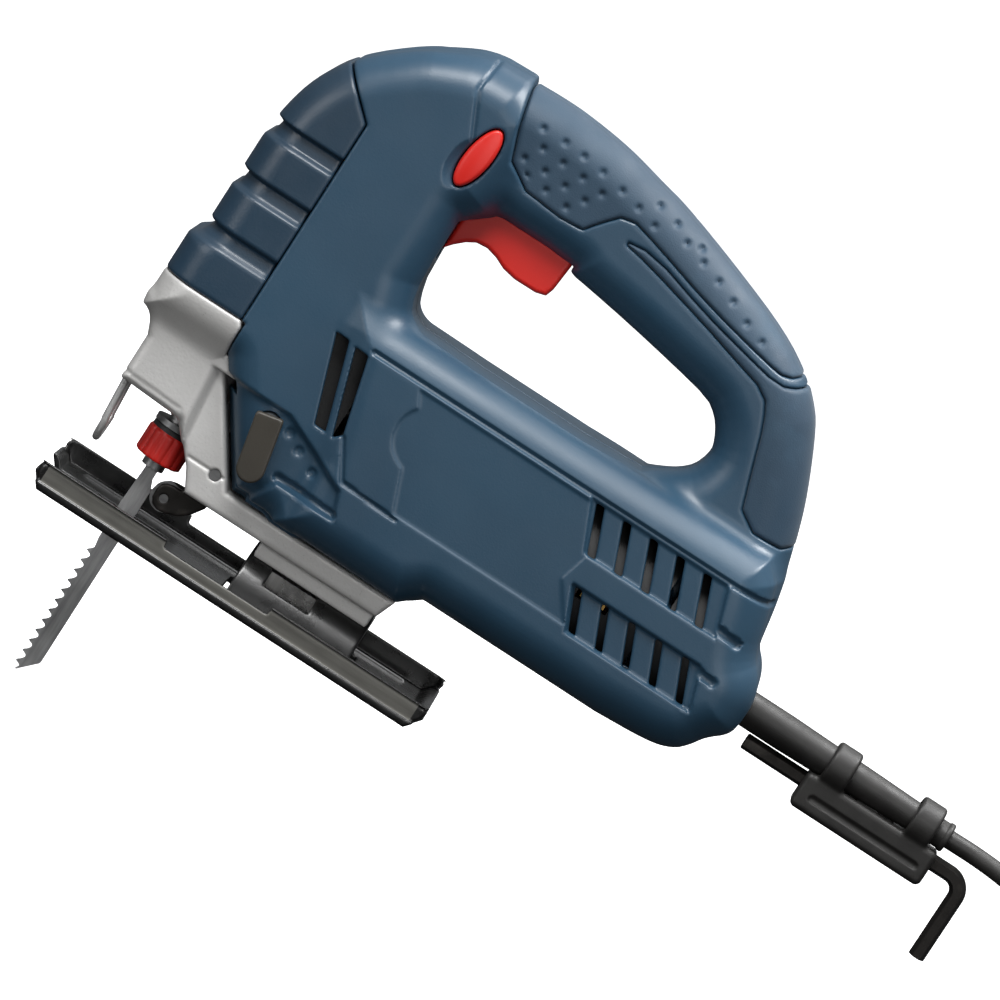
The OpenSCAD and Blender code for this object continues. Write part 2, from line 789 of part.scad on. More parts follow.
module brush_holders() {
    color(brass) for (s = [-1, 1]) difference() {
        translate([140, s > 0 ? 12.6 : -28.6, motor_z - 5]) cube([9, 16, 10]);
        translate([141.4, s > 0 ? 10 : -27.2, motor_z - 3.6]) cube([6.2, 17.2, 7.2]);
    }
}

module carbon_brushes() {
    color("#2b2b2d") for (s = [-1, 1])
        translate([141.5, s > 0 ? 11.1 : -20.1, motor_z - 3.5]) cube([6, 9, 7]);
}

module brush_springs() {
    color(steel) for (s = [-1, 1]) translate([144.5, s * 20.5, motor_z])
        rotate([-90 * s, 0, 0]) coil_spring(6, 2.2, 0.35, 4);
}

// ---------------------------------------------------------------- controls

module trigger() {
    color(red) difference() {
        side_plate(-trigger_half_w, trigger_half_w) polygon([[41.2, 156], [41.2, 136], [43, 138.6],
            [46, 141.4], [49, 143.2], [53, 143.6], [57, 142.6], [61, 140.8], [66, 139.9],
            [74, 140], [77.5, 141], [78.5, 144], [79.5, 156]]);
        side_plate(-3, 3) polygon([[58, 130], [76, 130], [76, 160], [58, 160]]);
    }
}

module speed_wheel() {
    teeth = 20;
    step = 360 / teeth;
    color(dark_blue) difference() {
        union() {
            side_plate(-2.6, 2.6) translate(wheel_at) polygon([for (k = [0 : teeth - 1]) each [
                wheel_r * [cos(step * (k - 0.25)), sin(step * (k - 0.25))],
                wheel_r * [cos(step * k), sin(step * k)],
                (wheel_r - 0.6) * [cos(step * (k + 0.3)), sin(step * (k + 0.3))],
                (wheel_r - 0.6) * [cos(step * (k + 0.45)), sin(step * (k + 0.45))]]]);
            bar_y(-2.8, 2.8, 3.5, wheel_at);
        }
        bar_y(-5, 5, 1.5, wheel_at);
    }
}

module trigger_spring() {
    color(steel) translate([49, 0, 157]) coil_spring(11, 3, 0.45, 5);
}

module switch_body() {
    color(black) side_plate(-11, 11) polygon([[54, 163], [92, 163], [94, 166], [94, 178],
        [54, 180]]);
}

module lock_button() {
    color(red) {
        lock_face(-28.9, -20);
        bar_y(-20.5, -13.6, 2.6, [lock_at[0], lock_at[1]]);
    }
}

module lock_spring() {
    color(steel) translate([lock_at[0], -16.5, lock_at[1]]) rotate([-90, 0, 0])
        coil_spring(5, 3.7, 0.4, 3);
}

module suppressor() {
    color("#b8b49a") side_plate(-8, 8) polygon([[104, 160], [122, 155], [124, 163], [106, 168]]);
}

module lead_wires() {
    color("#23303c") for (y = [-3, 3]) swept([[94.6, y, 170], [110, y, 170.5], [130, y, 165],
        [150, y, 157.5], [163, y, 148], [170, y, 134], [174, y, 116], [177, y, 96],
        [178, y, 80], [178, y * 0.6, 70], [178.5, y * 0.5, 64]], 1.1, 8);
}

// ---------------------------------------------------------------- cord end

module cord_sleeve() {
    color(rubber) difference() {
        union() {
            bar_x(197, 200, 8.5, sleeve_z);
            bar_x(199, 222, 6.2, sleeve_z);
            translate([222, 0, sleeve_z]) rotate([0, 90, 0])
                cylinder(h = sleeve_end_x - 224, r1 = 6.2, r2 = 4.7, $fn = 48);
            bar_x(sleeve_end_x - 2, sleeve_end_x, 5.2, sleeve_z);
        }
        bar_x(190, 300, cord_d / 2 + 0.02, sleeve_z);
    }
}

module inner_cord() { color(rubber) bar_x(180, sleeve_end_x - 0.02, cord_d / 2, sleeve_z); }

module cord_clamp() {
    color(black) difference() {
        translate([184, -12, sleeve_z - 5.5]) cube([8, 24, 5.4]);
        bar_x(180, 200, cord_d / 2 + 0.02, sleeve_z);
        for (y = [-8.5, 8.5]) bar_z(50, 70, 1.55, 188, y);
    }
}

module cord_clamp_screws() {
    color(steel) for (y = [-8.5, 8.5]) {
        bar_z(sleeve_z - 8, sleeve_z + 2, 1.5, 188, y);
        bar_z(sleeve_z - 8, sleeve_z - 5.6, 2.8, 188, y);
    }
}

module key_holder() {
    color(rubber) difference() {
        union() {
            translate([235, -5.5, key_z - 9.2]) cube([51, 11, 13.2]);
            for (x = [239, 272]) bar_x(x, x + 9, 8, sleeve_z);
        }
        bar_x(230, 300, 6.1, sleeve_z);
        bar_x(230, 300, key_af / 2 / cos(30) + 0.05, key_z);
        for (x = [247.9, 262]) translate([x, -3.2, key_z + 2]) cube([6, 6.4, 10]);
    }
}

module hex_key() {
    bend_r = 6;
    across = key_af / 2 / cos(30);
    color(black) {
        translate([212, 0, key_z]) rotate([0, 90, 0])
            cylinder(h = key_arm_x - bend_r - 212, r = across, $fn = 6);
        translate([key_arm_x - bend_r, 0, key_z - bend_r]) rotate([90, 0, 0])
            rotate_extrude(angle = 90, $fn = 48) translate([bend_r, 0]) circle(across, $fn = 6);
        translate([key_arm_x, 0, 23]) cylinder(h = key_z - bend_r - 23, r = across, $fn = 6);
    }
}

// The cord's hand-laid route from the sleeve, down and onto the top of its coil
cord_route = [[286, 0, 62], [298, 0, 62], [309, -2, 61.5], [319, -7, 60.5], [329, -14, 57.5],
    [338, -21, 52], [346, -28, 43.5], [352, -34, 32.5], [356, -39, 20], [358, -42, 7],
    [358, -44.5, -5], [355, -46, -15], [348, -46.5, -24], [337, -46.5, -31], [324, -46.3, -35.5],
    [312, -46, -37.1], [300, -46, -37.2]];

module supply_cord() {
    color(rubber) {
        swept(cord_route, cord_d / 2, 10);
        swept([[300, plug_y, floor_z + cord_d / 2 + 0.1], [312, plug_y, floor_z + 3.6],
            [322, plug_y, floor_z + 5.5], [331, plug_y, plug_z]], cord_d / 2, 10);
    }
}

module cord_coil() {
    inner = coil_r - cord_d / 2;
    color(rubber) translate([coil_at[0], coil_at[1], floor_z]) rotate_extrude($fn = 64)
        translate([inner, 0]) square(cord_d * [coil_rows, coil_layers]);
}

module plug() {
    color(rubber) {
        translate([331, plug_y, plug_z]) rotate([0, 90, 0])
            cylinder(h = plug_x - 330, r1 = 3.6, r2 = 6, $fn = 48);
        translate([plug_x, plug_y, plug_z - 9]) linear_extrude(18) polygon([[0, -10], [6, -14],
            [30, -18], [38, -18], [38, 18], [30, 18], [6, 14], [0, 10]]);
        for (y = [-9.5, 9.5]) bar_x(plug_x + 37, plug_x + 57, 2.4, plug_z, plug_y + y);
    }
}

left_housing();
right_housing();
front_cover();
left_grip();
right_grip();
housing_screws();
gear_housing();
gear_housing_screws();
lower_guide_bush();
upper_guide_bush();
rod_seal();
stator_core();
field_coils();
front_bearing();
rear_bearing();
bearing_cup();
brush_holders();
carbon_brushes();
brush_springs();
fan_shroud();
air_guides();
rotor_shaft();
rotor_core();
rotor_windings();
commutator();
cooling_fan();
drive_gear();
crank_pin();
gear_spindle();
lifting_rod();
blade_holder();
clamp_spring();
saw_blade();
clamp_sleeve();
roller_fork();
fork_pin();
guide_roller();
roller_pin();
orbit_lever();
orbit_shaft();
blade_guard();
base_plate();
base_clamp();
base_screw();
trigger();
speed_wheel();
trigger_spring();
switch_body();
lock_button();
lock_spring();
suppressor();
lead_wires();
cord_sleeve();
cord_clamp();
cord_clamp_screws();
inner_cord();
key_holder();
hex_key();
supply_cord();
cord_coil();
plug();
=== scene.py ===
"""Corded jigsaw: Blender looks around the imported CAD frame.

Lengths below are in millimetres in the row frame (X back along the base plate, Z up,
the tool's left side at -Y) and are scaled to metres when a mesh is made.
"""

import json
import math

import bpy
import bmesh
import numpy as np
from mathutils import Matrix, Vector


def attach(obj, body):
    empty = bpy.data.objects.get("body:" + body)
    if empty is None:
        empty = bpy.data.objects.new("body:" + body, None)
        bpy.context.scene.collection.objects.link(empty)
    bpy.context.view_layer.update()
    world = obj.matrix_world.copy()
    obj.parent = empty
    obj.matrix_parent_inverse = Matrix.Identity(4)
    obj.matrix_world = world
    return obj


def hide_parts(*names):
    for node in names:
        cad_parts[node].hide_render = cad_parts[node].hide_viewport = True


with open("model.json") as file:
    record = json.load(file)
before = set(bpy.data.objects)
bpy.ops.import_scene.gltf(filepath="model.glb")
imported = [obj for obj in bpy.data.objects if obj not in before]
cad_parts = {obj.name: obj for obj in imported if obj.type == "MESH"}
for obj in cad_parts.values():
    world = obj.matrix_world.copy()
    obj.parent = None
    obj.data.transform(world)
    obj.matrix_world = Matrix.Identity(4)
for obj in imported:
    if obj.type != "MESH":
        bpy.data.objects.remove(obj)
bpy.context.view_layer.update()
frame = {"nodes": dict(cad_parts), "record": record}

MM = 0.001
VOXEL = 0.62     # grid step of the larger moulded pieces
FINE = 0.42      # grid step of small detailed pieces
FLOOR_Z = -60.0                         # where the cord's coil lies

# ------------------------------------------------------------------ shapes shared with the CAD

FRONT_HALF = 28.0
GRIP_HALF = 18.5
BARREL_HALF = 33.0
COLUMN_ROUND = 13.0                     # the three roundings are a little larger than the CAD's
GRIP_ROUND = 13.5
BARREL_ROUND = 15.0
WALL = 2.8
INLAY = 1.4
MOTOR_Z = 72.0
ROD_X = -1.0
SLEEVE_Z = 62.0
KEY_Z = 52.6
KEY_ARM_X = 298.5
HOLDER_LOW = 43.4                        # underside of the key holder
CORD_D = 6.5
COIL_AT = (300.0, -2.0)
COIL_R = 31.0
COIL_ROWS = 3
PLUG_Y = COIL_AT[1] + COIL_R + (COIL_ROWS - 1) * CORD_D
PLUG_Z = FLOOR_Z + 9.0
BASE_HALF = 37.5
GEAR_Z = 97.6                           # height of the driven gear's axis


def eased(points, first, last, rounds=2):
    """The outline with the corners between two of its points cut off, so that it runs round."""
    run = points[first:last + 1]
    for _ in range(rounds):
        cut = [run[0]]
        for (au, av), (bu, bv) in zip(run, run[1:]):
            cut.append((au * 0.75 + bu * 0.25, av * 0.75 + bv * 0.25))
            cut.append((au * 0.25 + bu * 0.75, av * 0.25 + bv * 0.75))
        run = cut + [points[last]]
    return points[:first] + run + points[last + 1:]


FRONT_OUTLINE = eased([
    (-32, 68), (-32, 96), (-28.5, 104), (-28.5, 135), (-27.5, 148), (-24, 161), (-17, 172.7),
    (0, 187.3), (10, 192.3), (20, 196.4), (35, 197), (50, 190), (45, 155), (40.5, 150),
    (40.5, 122), (48, 100), (52, 60), (50, 31), (25, 31), (0, 68)], 3, 10)
LOOP_OUTER = [
    (2, 120), (6, 184), (20, 196.4), (35, 197), (50, 197.6), (60, 197.1), (75, 195.4),
    (90, 191.8), (100, 189.8), (125, 181.7), (150, 172.5), (164, 164.1), (170, 158.5),
    (175, 152.5), (185, 131.8), (190, 117.7), (194, 104), (196, 90), (196, 60), (40, 60)]
OPENING = [
    (40.5, 154), (40.5, 125), (43, 114.5), (46, 111.5), (52, 109.3), (133, 109.3), (140, 113.5),
    (145, 116.5), (148.5, 120), (150.3, 125), (150.3, 129), (148, 134), (145, 138),
    (140, 141.5), (125, 144.5), (105, 148), (88, 150.5), (80, 151.5), (79, 154)]
BARREL_OUTLINE = eased([
    (42, 31), (91, 30.3), (94, 33), (98, 36.3), (165, 36.3), (185, 37.5), (193, 40), (197, 44),
    (200, 49), (206, 54), (207, 59), (207, 68), (204, 75), (199, 80), (196, 92), (192, 104),
    (186, 110), (27, 110), (27, 100), (40, 58)], 4, 15)
CASING_REGION = [
    (-17, 172.7), (-1, 158), (-1, 82), (0.5, 82), (0.5, 68), (22, 36), (25.5, 31), (25.5, 20),
    (220, 20), (220, 220), (-17, 220)]
COVER_REGION = [(-60, 82.2), (-1.3, 82.2), (-1.3, 157.8), (-17.5, 172.4), (-60, 172.4)]
FRONT_PAD = [
    (34, 215), (39, 188), (46.5, 168), (75, 165.5), (79, 171), (86, 179), (100, 175.5),
    (124, 168.5), (150, 163), (158, 161.8), (164, 166), (172, 170), (120, 225)]
REAR_PAD = [
    (88, 171), (100, 169), (126, 162.5), (140, 158.5), (155, 154.5), (160, 146), (165, 131),
    (171, 114), (192, 114), (196, 130), (176, 170), (164, 161), (157, 158.5), (140, 162),
    (124, 165.5), (100, 172.5)]
SCREW_POINTS = [
    (8, 178), (18, 160), (88, 104), (158, 104), (104, 184), (158.5, 137), (176, 46), (134, 43),
    (60, 37.5)]
ORBIT_AT = (24.5, 58.0)
LOCK_AT = (35.0, 168.7)
WHEEL_AT = (67.0, 147.6)

# ------------------------------------------------------------------ camera and cord

PHOTO_ROLL = math.radians(33.0)
CAMERA_RISE = math.radians(7.5)
CAMERA_DISTANCE = 2.5
VIEW_WIDTH = 0.3292                     # metres across the picture, at the tool
AIM = (101.3, 0.0, 75.3)                # the point in the middle of the picture


def make_camera():
    """A long lens that looks across the tool, rolled so that the nose points up the picture."""
    data = bpy.data.cameras.new("camera")
    data.sensor_width = 36.0
    data.lens = 36.0 * CAMERA_DISTANCE / VIEW_WIDTH
    data.clip_end = 50.0
    camera = bpy.data.objects.new("camera", data)
    bpy.context.scene.collection.objects.link(camera)
    toward = Vector((0.0, math.cos(CAMERA_RISE), -math.sin(CAMERA_RISE)))
    side = Vector((1.0, 0.0, 0.0))
    above = side.cross(toward)
    right = side * math.cos(PHOTO_ROLL) + above * math.sin(PHOTO_ROLL)
    up = -side * math.sin(PHOTO_ROLL) + above * math.cos(PHOTO_ROLL)
    place = Vector(AIM) * MM - toward * CAMERA_DISTANCE
    turn = Matrix((right, up, -toward)).transposed().to_4x4()
    camera.matrix_world = Matrix.Translation(place) @ turn
    bpy.context.scene.camera = camera


def link(name, mesh, body):
    """An object made of a mesh, in the scene and riding on a body."""
    obj = bpy.data.objects.new(name, mesh)
    bpy.context.scene.collection.objects.link(obj)
    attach(obj, body)
    return obj


def dressed(name, mesh, body, finish, node):
    """Puts a mesh on its body in its finish, in place of its CAD node."""
    mesh.materials.append(finish)
    obj = link(name, mesh, body)
    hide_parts(node)
    return obj


CORD_ROUTE = [
    (286, 0, 62), (298, 0, 62), (309, -2, 61.5), (319, -7, 60.5), (329, -14, 57.5),
    (338, -21, 52), (346, -28, 43.5), (352, -34, 32.5), (356, -39, 20), (358, -42, 7),
    (358, -44.5, -5), (355, -46, -15), (348, -46.5, -24), (337, -46.5, -31), (324, -46.3, -35.5),
    (312, -46, -37.1), (300, -46, -37.2)]
COIL_LAYERS = 4
TURN_STEPS = 16                         # points in each turn of the coil
FIRST_STEP = 0.25                       # turns after which the cord first changes its row


def ease(share):
    """A smooth step from 0 to 1."""
    share = max(0.0, min(1.0, share))
    return share * share * (3 - 2 * share)


def coil_events():
    """Where, in turns, the cord moves over one row or down one layer, each over a quarter turn.

    Four layers of flat turns: inward, outward, inward, outward, each change of row ahead of the
    one above it, so that no two turns ever cross at the same height.
    """
    rows, falls = [], []
    start = FIRST_STEP
    for layer in range(COIL_LAYERS):
        inward = layer % 2 == 0
        for k in range(COIL_ROWS - 1):
            rows.append((start + k, -1 if inward else 1))
        if layer < COIL_LAYERS - 1:
            fall = start + COIL_ROWS - 1 - 0.25
            falls.append(fall)
            start = fall + 0.75
    return rows, falls


def coil_points():
    """The stored length as points, from the top layer's outer turn to the bottom one's."""
    rows, falls = coil_events()
    turns = 2 * COIL_ROWS + COIL_LAYERS - 0.5
    points = []
    for i in range(1, int(turns * TURN_STEPS) + 1):
        t = i / TURN_STEPS
        row = COIL_ROWS - 1 + sum(way * ease((t - at) / 0.25) for at, way in rows)
        layer = sum(ease((t - at) / 0.25) for at in falls)
        angle = math.radians(-90.0) - 2 * math.pi * t
        radius = COIL_R + CORD_D * row
        points.append((
            COIL_AT[0] + radius * math.cos(angle),
            COIL_AT[1] + radius * math.sin(angle),
            FLOOR_Z + CORD_D * (COIL_LAYERS - 0.5 - layer) + 0.02))
    return points


CORD_LEAD_OUT = [(311, PLUG_Y, FLOOR_Z + 3.6), (321, PLUG_Y, FLOOR_Z + 5.6), (331, PLUG_Y, PLUG_Z)]


def make_cord():
    """The supply cord from the sleeve's end, down to the floor, round its coil and to the plug."""
    points = CORD_ROUTE + coil_points() + CORD_LEAD_OUT
    curve = bpy.data.curves.new("supply_cord_run", "CURVE")
    curve.dimensions = "3D"
    curve.bevel_depth = CORD_D / 2 * MM
    curve.bevel_resolution = 5
    curve.resolution_u = 6
    spline = curve.splines.new("BEZIER")
    spline.bezier_points.add(len(points) - 1)
    for knot, place in zip(spline.bezier_points, points):
        knot.co = Vector(place) * MM
        knot.handle_left_type = "AUTO"
        knot.handle_right_type = "AUTO"
    obj = bpy.data.objects.new("supply_cord_run", curve)
    bpy.context.scene.collection.objects.link(obj)
    obj.data.materials.append(cord_rubber())
    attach(obj, "casing")
    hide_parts("supply_cord", "cord_coil")
    return obj


# ------------------------------------------------------------------ solids from distance fields


class Grid:
    """A box of points for distance fields. X, Y and Z broadcast against each other."""

    def __init__(self, low, high, step):
        self.low = np.array(low, float)
        self.step = float(step)
        count = [int(math.ceil((b - a) / step)) + 1 for a, b in zip(low, high)]
        axes = [np.float32(a) + np.float32(step) * np.arange(n, dtype=np.float32)
                for a, n in zip(low, count)]
        self.shape = tuple(count)
        self.X, self.Y, self.Z = np.meshgrid(*axes, indexing="ij", sparse=True)


def outline_distance(points, U, V):
    """Signed distance to a closed outline, negative inside."""
    best = None
    inside = None
    for (au, av), (bu, bv) in zip(points, points[1:] + points[:1]):
        eu, ev = bu - au, bv - av
        share = np.clip(((U - au) * eu + (V - av) * ev) / (eu * eu + ev * ev), 0, 1)
        gap = (U - au - share * eu) ** 2 + (V - av - share * ev) ** 2
        best = gap if best is None else np.minimum(best, gap)
        crossing = ((av > V) != (bv > V)) & (U < eu * (V - av) / (ev if ev else 1e-9) + au)
        inside = crossing if inside is None else inside ^ crossing
    return np.where(inside, -1, 1).astype(np.float32) * np.sqrt(best).astype(np.float32)


def line_distance(points, U, V):
    """Distance to an open run of straight lines."""
    best = None
    for (au, av), (bu, bv) in zip(points, points[1:]):
        eu, ev = bu - au, bv - av
        share = np.clip(((U - au) * eu + (V - av) * ev) / (eu * eu + ev * ev), 0, 1)
        gap = (U - au - share * eu) ** 2 + (V - av - share * ev) ** 2
        best = gap if best is None else np.minimum(best, gap)
    return np.sqrt(best).astype(np.float32)


def smooth_outline(points, rounds=2):
    """The outline with its corners cut off a few times, so that it runs round."""
    for _ in range(rounds):
        cut = []
        for (au, av), (bu, bv) in zip(points, points[1:] + points[:1]):
            cut.append((au * 0.75 + bu * 0.25, av * 0.75 + bv * 0.25))
            cut.append((au * 0.25 + bu * 0.75, av * 0.25 + bv * 0.75))
        points = cut
    return points


def rounded_slab(flat, across, half, radius):
    """A slab of an outline, with round edges. flat is the outline's distance."""
    a = flat + radius
    b = np.abs(across) - half + radius
    outer = np.sqrt(np.maximum(a, 0) ** 2 + np.maximum(b, 0) ** 2)
    return np.minimum(np.maximum(a, b), 0) + outer - radius


def blend_join(a, b, k):
    """The union of two solids with a fillet."""
    h = np.clip(0.5 + 0.5 * (b - a) / k, 0, 1)
    return b * (1 - h) + a * h - k * h * (1 - h)


def blend_cut(a, b, k):
    """What two solids share, with a rounded edge."""
    return -blend_join(-a, -b, k)


def box_distance(grid, low, high, radius=0.0):
    """A box with round edges."""
    parts = []
    for axis, a, b in zip((grid.X, grid.Y, grid.Z), low, high):
        parts.append(np.abs(axis - (a + b) / 2) - (b - a) / 2 + radius)
    outer = np.sqrt(sum(np.maximum(p, 0) ** 2 for p in parts))
    inner = np.minimum(np.maximum(np.maximum(parts[0], parts[1]), parts[2]), 0)
    return outer + inner - radius


def tube_distance(U, V, W, centre, radius, low, high, edge=0.0):
    """A cylinder along W, with round edges."""
    a = np.sqrt((U - centre[0]) ** 2 + (V - centre[1]) ** 2) - radius + edge
    b = np.abs(W - (low + high) / 2) - (high - low) / 2 + edge
    outer = np.sqrt(np.maximum(a, 0) ** 2 + np.maximum(b, 0) ** 2)
    return np.minimum(np.maximum(a, b), 0) + outer - edge


def bump_step(value, width):
    """Goes from 1 where value is well below 0 to 0 where it is well above."""
    share = np.clip(0.5 - value / width, 0, 1)
    return share * share * (3 - 2 * share)


CORNERS = [(i, j, k) for i in (0, 1) for j in (0, 1) for k in (0, 1)]


def crossing_points(field, cells):
    """For each cell on the surface, the mean of the places where its edges cross it."""
    total = np.zeros((len(cells), 3))
    count = np.zeros(len(cells))
    for axis in range(3):
        step = np.eye(3, dtype=int)[axis]
        for corner in CORNERS:
            if corner[axis]:
                continue
            a = cells + np.array(corner)
            b = a + step
            fa = field[a[:, 0], a[:, 1], a[:, 2]].astype(float)
            fb = field[b[:, 0], b[:, 1], b[:, 2]].astype(float)
            hit = (fa < 0) != (fb < 0)
            share = fa[hit] / (fa[hit] - fb[hit])
            total[hit] += np.array(corner) + share[:, None] * step
            count[hit] += 1
    return total / count[:, None]


def sample_field(field, at):
    """The field between grid points, and its slope there, both in grid steps."""
    top = np.array(field.shape) - 2
    base = np.clip(np.floor(at).astype(int), 0, top)
    t = at - base
    value = np.zeros(len(at))
    slope = np.zeros((len(at), 3))
    for corner in CORNERS:
        c = base + np.array(corner)
        f = field[c[:, 0], c[:, 1], c[:, 2]].astype(float)
        w = [t[:, n] if corner[n] else 1 - t[:, n] for n in range(3)]
        value += f * w[0] * w[1] * w[2]
        for n in range(3):
            others = [w[m] for m in range(3) if m != n]
            slope[:, n] += f * (1 if corner[n] else -1) * others[0] * others[1]
    return value, slope


def surface_quads(inside, index):
    """One quad for each grid edge that crosses the surface."""
    quads = []
    for axis in range(3):
        u, v = [(1, 2), (2, 0), (0, 1)][axis]
        span = [slice(None)] * 3
        span[axis] = slice(0, inside.shape[axis] - 1)
        span[u] = slice(1, inside.shape[u] - 1)
        span[v] = slice(1, inside.shape[v] - 1)
        ahead = list(span)
        ahead[axis] = slice(1, inside.shape[axis])
        here = inside[tuple(span)]
        there = inside[tuple(ahead)]
        at = np.argwhere(here != there)
        solid_first = here[tuple(at.T)]
        at[:, u] += 1
        at[:, v] += 1
        ring = []
        for du, dv in ((-1, -1), (0, -1), (0, 0), (-1, 0)):
            c = at.copy()
            c[:, u] += du
            c[:, v] += dv
            ring.append(index[c[:, 0], c[:, 1], c[:, 2]])
        ring = np.stack(ring, 1)
        ring[~solid_first] = ring[~solid_first][:, ::-1]
        quads.append(ring)
    return np.concatenate(quads)


def mesh_from_field(name, field, grid, smooth=True, settle=2):
    """A closed mesh of the surface where the field is zero, in metres."""
    field = np.ascontiguousarray(np.broadcast_to(field, grid.shape), dtype=np.float32)
    inside = field < 0
    tally = np.zeros(tuple(n - 1 for n in grid.shape), np.int8)
    for i, j, k in CORNERS:
        tally += inside[i:i + tally.shape[0], j:j + tally.shape[1], k:k + tally.shape[2]]
    cells = np.argwhere((tally > 0) & (tally < 8))
    index = np.full(tally.shape, -1, np.int32)
    index[tuple(cells.T)] = np.arange(len(cells))
    at = cells + crossing_points(field, cells)
    scaled = field / grid.step
    for _ in range(settle):
        value, slope = sample_field(scaled, at)
        size = np.maximum((slope ** 2).sum(1), 0.25)
        move = -(value / size)[:, None] * slope
        at += np.clip(move, -0.35, 0.35)
    quads = surface_quads(inside, index)
    places = (at * grid.step + grid.low) * MM
    mesh = bpy.data.meshes.new(name)
    mesh.vertices.add(len(places))
    mesh.vertices.foreach_set("co", places.astype(np.float32).ravel())
    mesh.loops.add(quads.size)
    mesh.loops.foreach_set("vertex_index", quads.astype(np.int32).ravel())
    mesh.polygons.add(len(quads))
    mesh.polygons.foreach_set("loop_start", np.arange(0, quads.size, 4, dtype=np.int32))
    mesh.update(calc_edges=True)
    mesh.validate()
    if smooth:
        mesh.polygons.foreach_set("use_smooth", np.ones(len(mesh.polygons), bool))
    return mesh


def drop_specks(mesh, least=60):
    """Leaves out loose crumbs that a thin place of the field can make."""
    work = bmesh.new()
    work.from_mesh(mesh)
    seen = set()
    spare = []
    for start in work.verts:
        if start in seen:
            continue
        island = [start]
        seen.add(start)
        for vert in island:
            for edge in vert.link_edges:
                other = edge.other_vert(vert)
                if other not in seen:
                    seen.add(other)
                    island.append(other)
        if len(island) < least:
            spare.extend(island)
    bmesh.ops.delete(work, geom=spare, context="VERTS")
    work.to_mesh(mesh)
    work.free()
    return mesh


# ------------------------------------------------------------------ materials


def srgb(red, green, blue):
    """A colour given in 0 to 255 screen values, as the shader's linear values."""
    out = []
    for value in (red, green, blue):
        c = value / 255.0
        out.append(c / 12.92 if c <= 0.04045 else ((c + 0.055) / 1.055) ** 2.4)
    return tuple(out) + (1.0,)


class Shader:
    """A Principled material that detail nodes are hung on."""

    def __init__(self, name, rough=0.5, metal=0.0, specular=0.5):
        self.material = bpy.data.materials.new(name)
        self.material.use_nodes = True
        self.nodes = self.material.node_tree.nodes
        self.links = self.material.node_tree.links
        self.main = self.nodes["Principled BSDF"]
        self.main.inputs["Metallic"].default_value = metal
        self.main.inputs["Roughness"].default_value = rough
        self.main.inputs["Specular IOR Level"].default_value = specular
        self.place = self.nodes.new("ShaderNodeTexCoord").outputs["Object"]
        self.heights = []

    def added(self, kind, values):
        """A new node with some of its inputs set."""
        node = self.nodes.new(kind)
        for key, value in values.items():
            node.inputs[key].default_value = value
        return node

    def stretched(self, scale):
        """Object coordinates stretched along some axes."""
        node = self.added("ShaderNodeMapping", {"Scale": scale})
        self.links.new(self.place, node.inputs["Vector"])
        return node.outputs["Vector"]

    def noise(self, scale, detail=3.0, rough=0.55, vector=None):
        """Noise with features of about one metre over the scale."""
        node = self.added("ShaderNodeTexNoise",
                          {"Scale": scale, "Detail": detail, "Roughness": rough})
        self.links.new(vector or self.place, node.inputs["Vector"])
        return node.outputs["Fac"]

    def cells(self, scale, vector=None):
        """Rounded cells, for moulded and cast grain."""
        node = self.added("ShaderNodeTexVoronoi", {"Scale": scale})
        node.feature = "SMOOTH_F1"
        self.links.new(vector or self.place, node.inputs["Vector"])
        return node.outputs["Distance"]

    def waves(self, scale, axis, distortion=0.0, vector=None):
        """Fine stripes that follow each other along an axis."""
        node = self.added("ShaderNodeTexWave",
                          {"Scale": scale, "Distortion": distortion, "Detail Scale": 2.0})
        node.bands_direction = axis
        self.links.new(vector or self.place, node.inputs["Vector"])
        return node.outputs["Fac"]

    def ramp(self, value, low, high, out_low=0.0, out_high=1.0):
        """Maps low..high of a value to another range."""
        node = self.added("ShaderNodeMapRange", {
            "From Min": low, "From Max": high, "To Min": out_low, "To Max": out_high})
        self.links.new(value, node.inputs["Value"])
        return node.outputs["Result"]

    def mixed(self, share, a, b):
        """One colour or another by a share. a and b are colours or sockets."""
        node = self.nodes.new("ShaderNodeMix")
        node.data_type = "RGBA"
        self.links.new(share, node.inputs["Factor"])
        for value, key in ((a, 6), (b, 7)):
            if isinstance(value, tuple):
                node.inputs[key].default_value = value
            else:
                self.links.new(value, node.inputs[key])
        return node.outputs[2]

    def colour(self, socket):
        self.links.new(socket, self.main.inputs["Base Color"])

    def roughness(self, socket):
        self.links.new(socket, self.main.inputs["Roughness"])

    def height(self, socket, strength, distance):
        """Adds a bump, on top of the ones added before."""
        node = self.added("ShaderNodeBump", {"Strength": strength, "Distance": distance})
        self.links.new(socket, node.inputs["Height"])
        if self.heights:
            self.links.new(self.heights[-1], node.inputs["Normal"])
        self.heights.append(node.outputs["Normal"])
        self.links.new(node.outputs["Normal"], self.main.inputs["Normal"])

    def coat(self, weight, rough):
        self.main.inputs["Coat Weight"].default_value = weight
        self.main.inputs["Coat Roughness"].default_value = rough

    def sheen(self, weight, rough):
        self.main.inputs["Sheen Weight"].default_value = weight
        self.main.inputs["Sheen Roughness"].default_value = rough


MADE = {}


def once(maker):
    """Keeps the material that a maker gave the first time."""
    def give():
        if maker.__name__ not in MADE:
            MADE[maker.__name__] = maker()
        return MADE[maker.__name__]
    return give


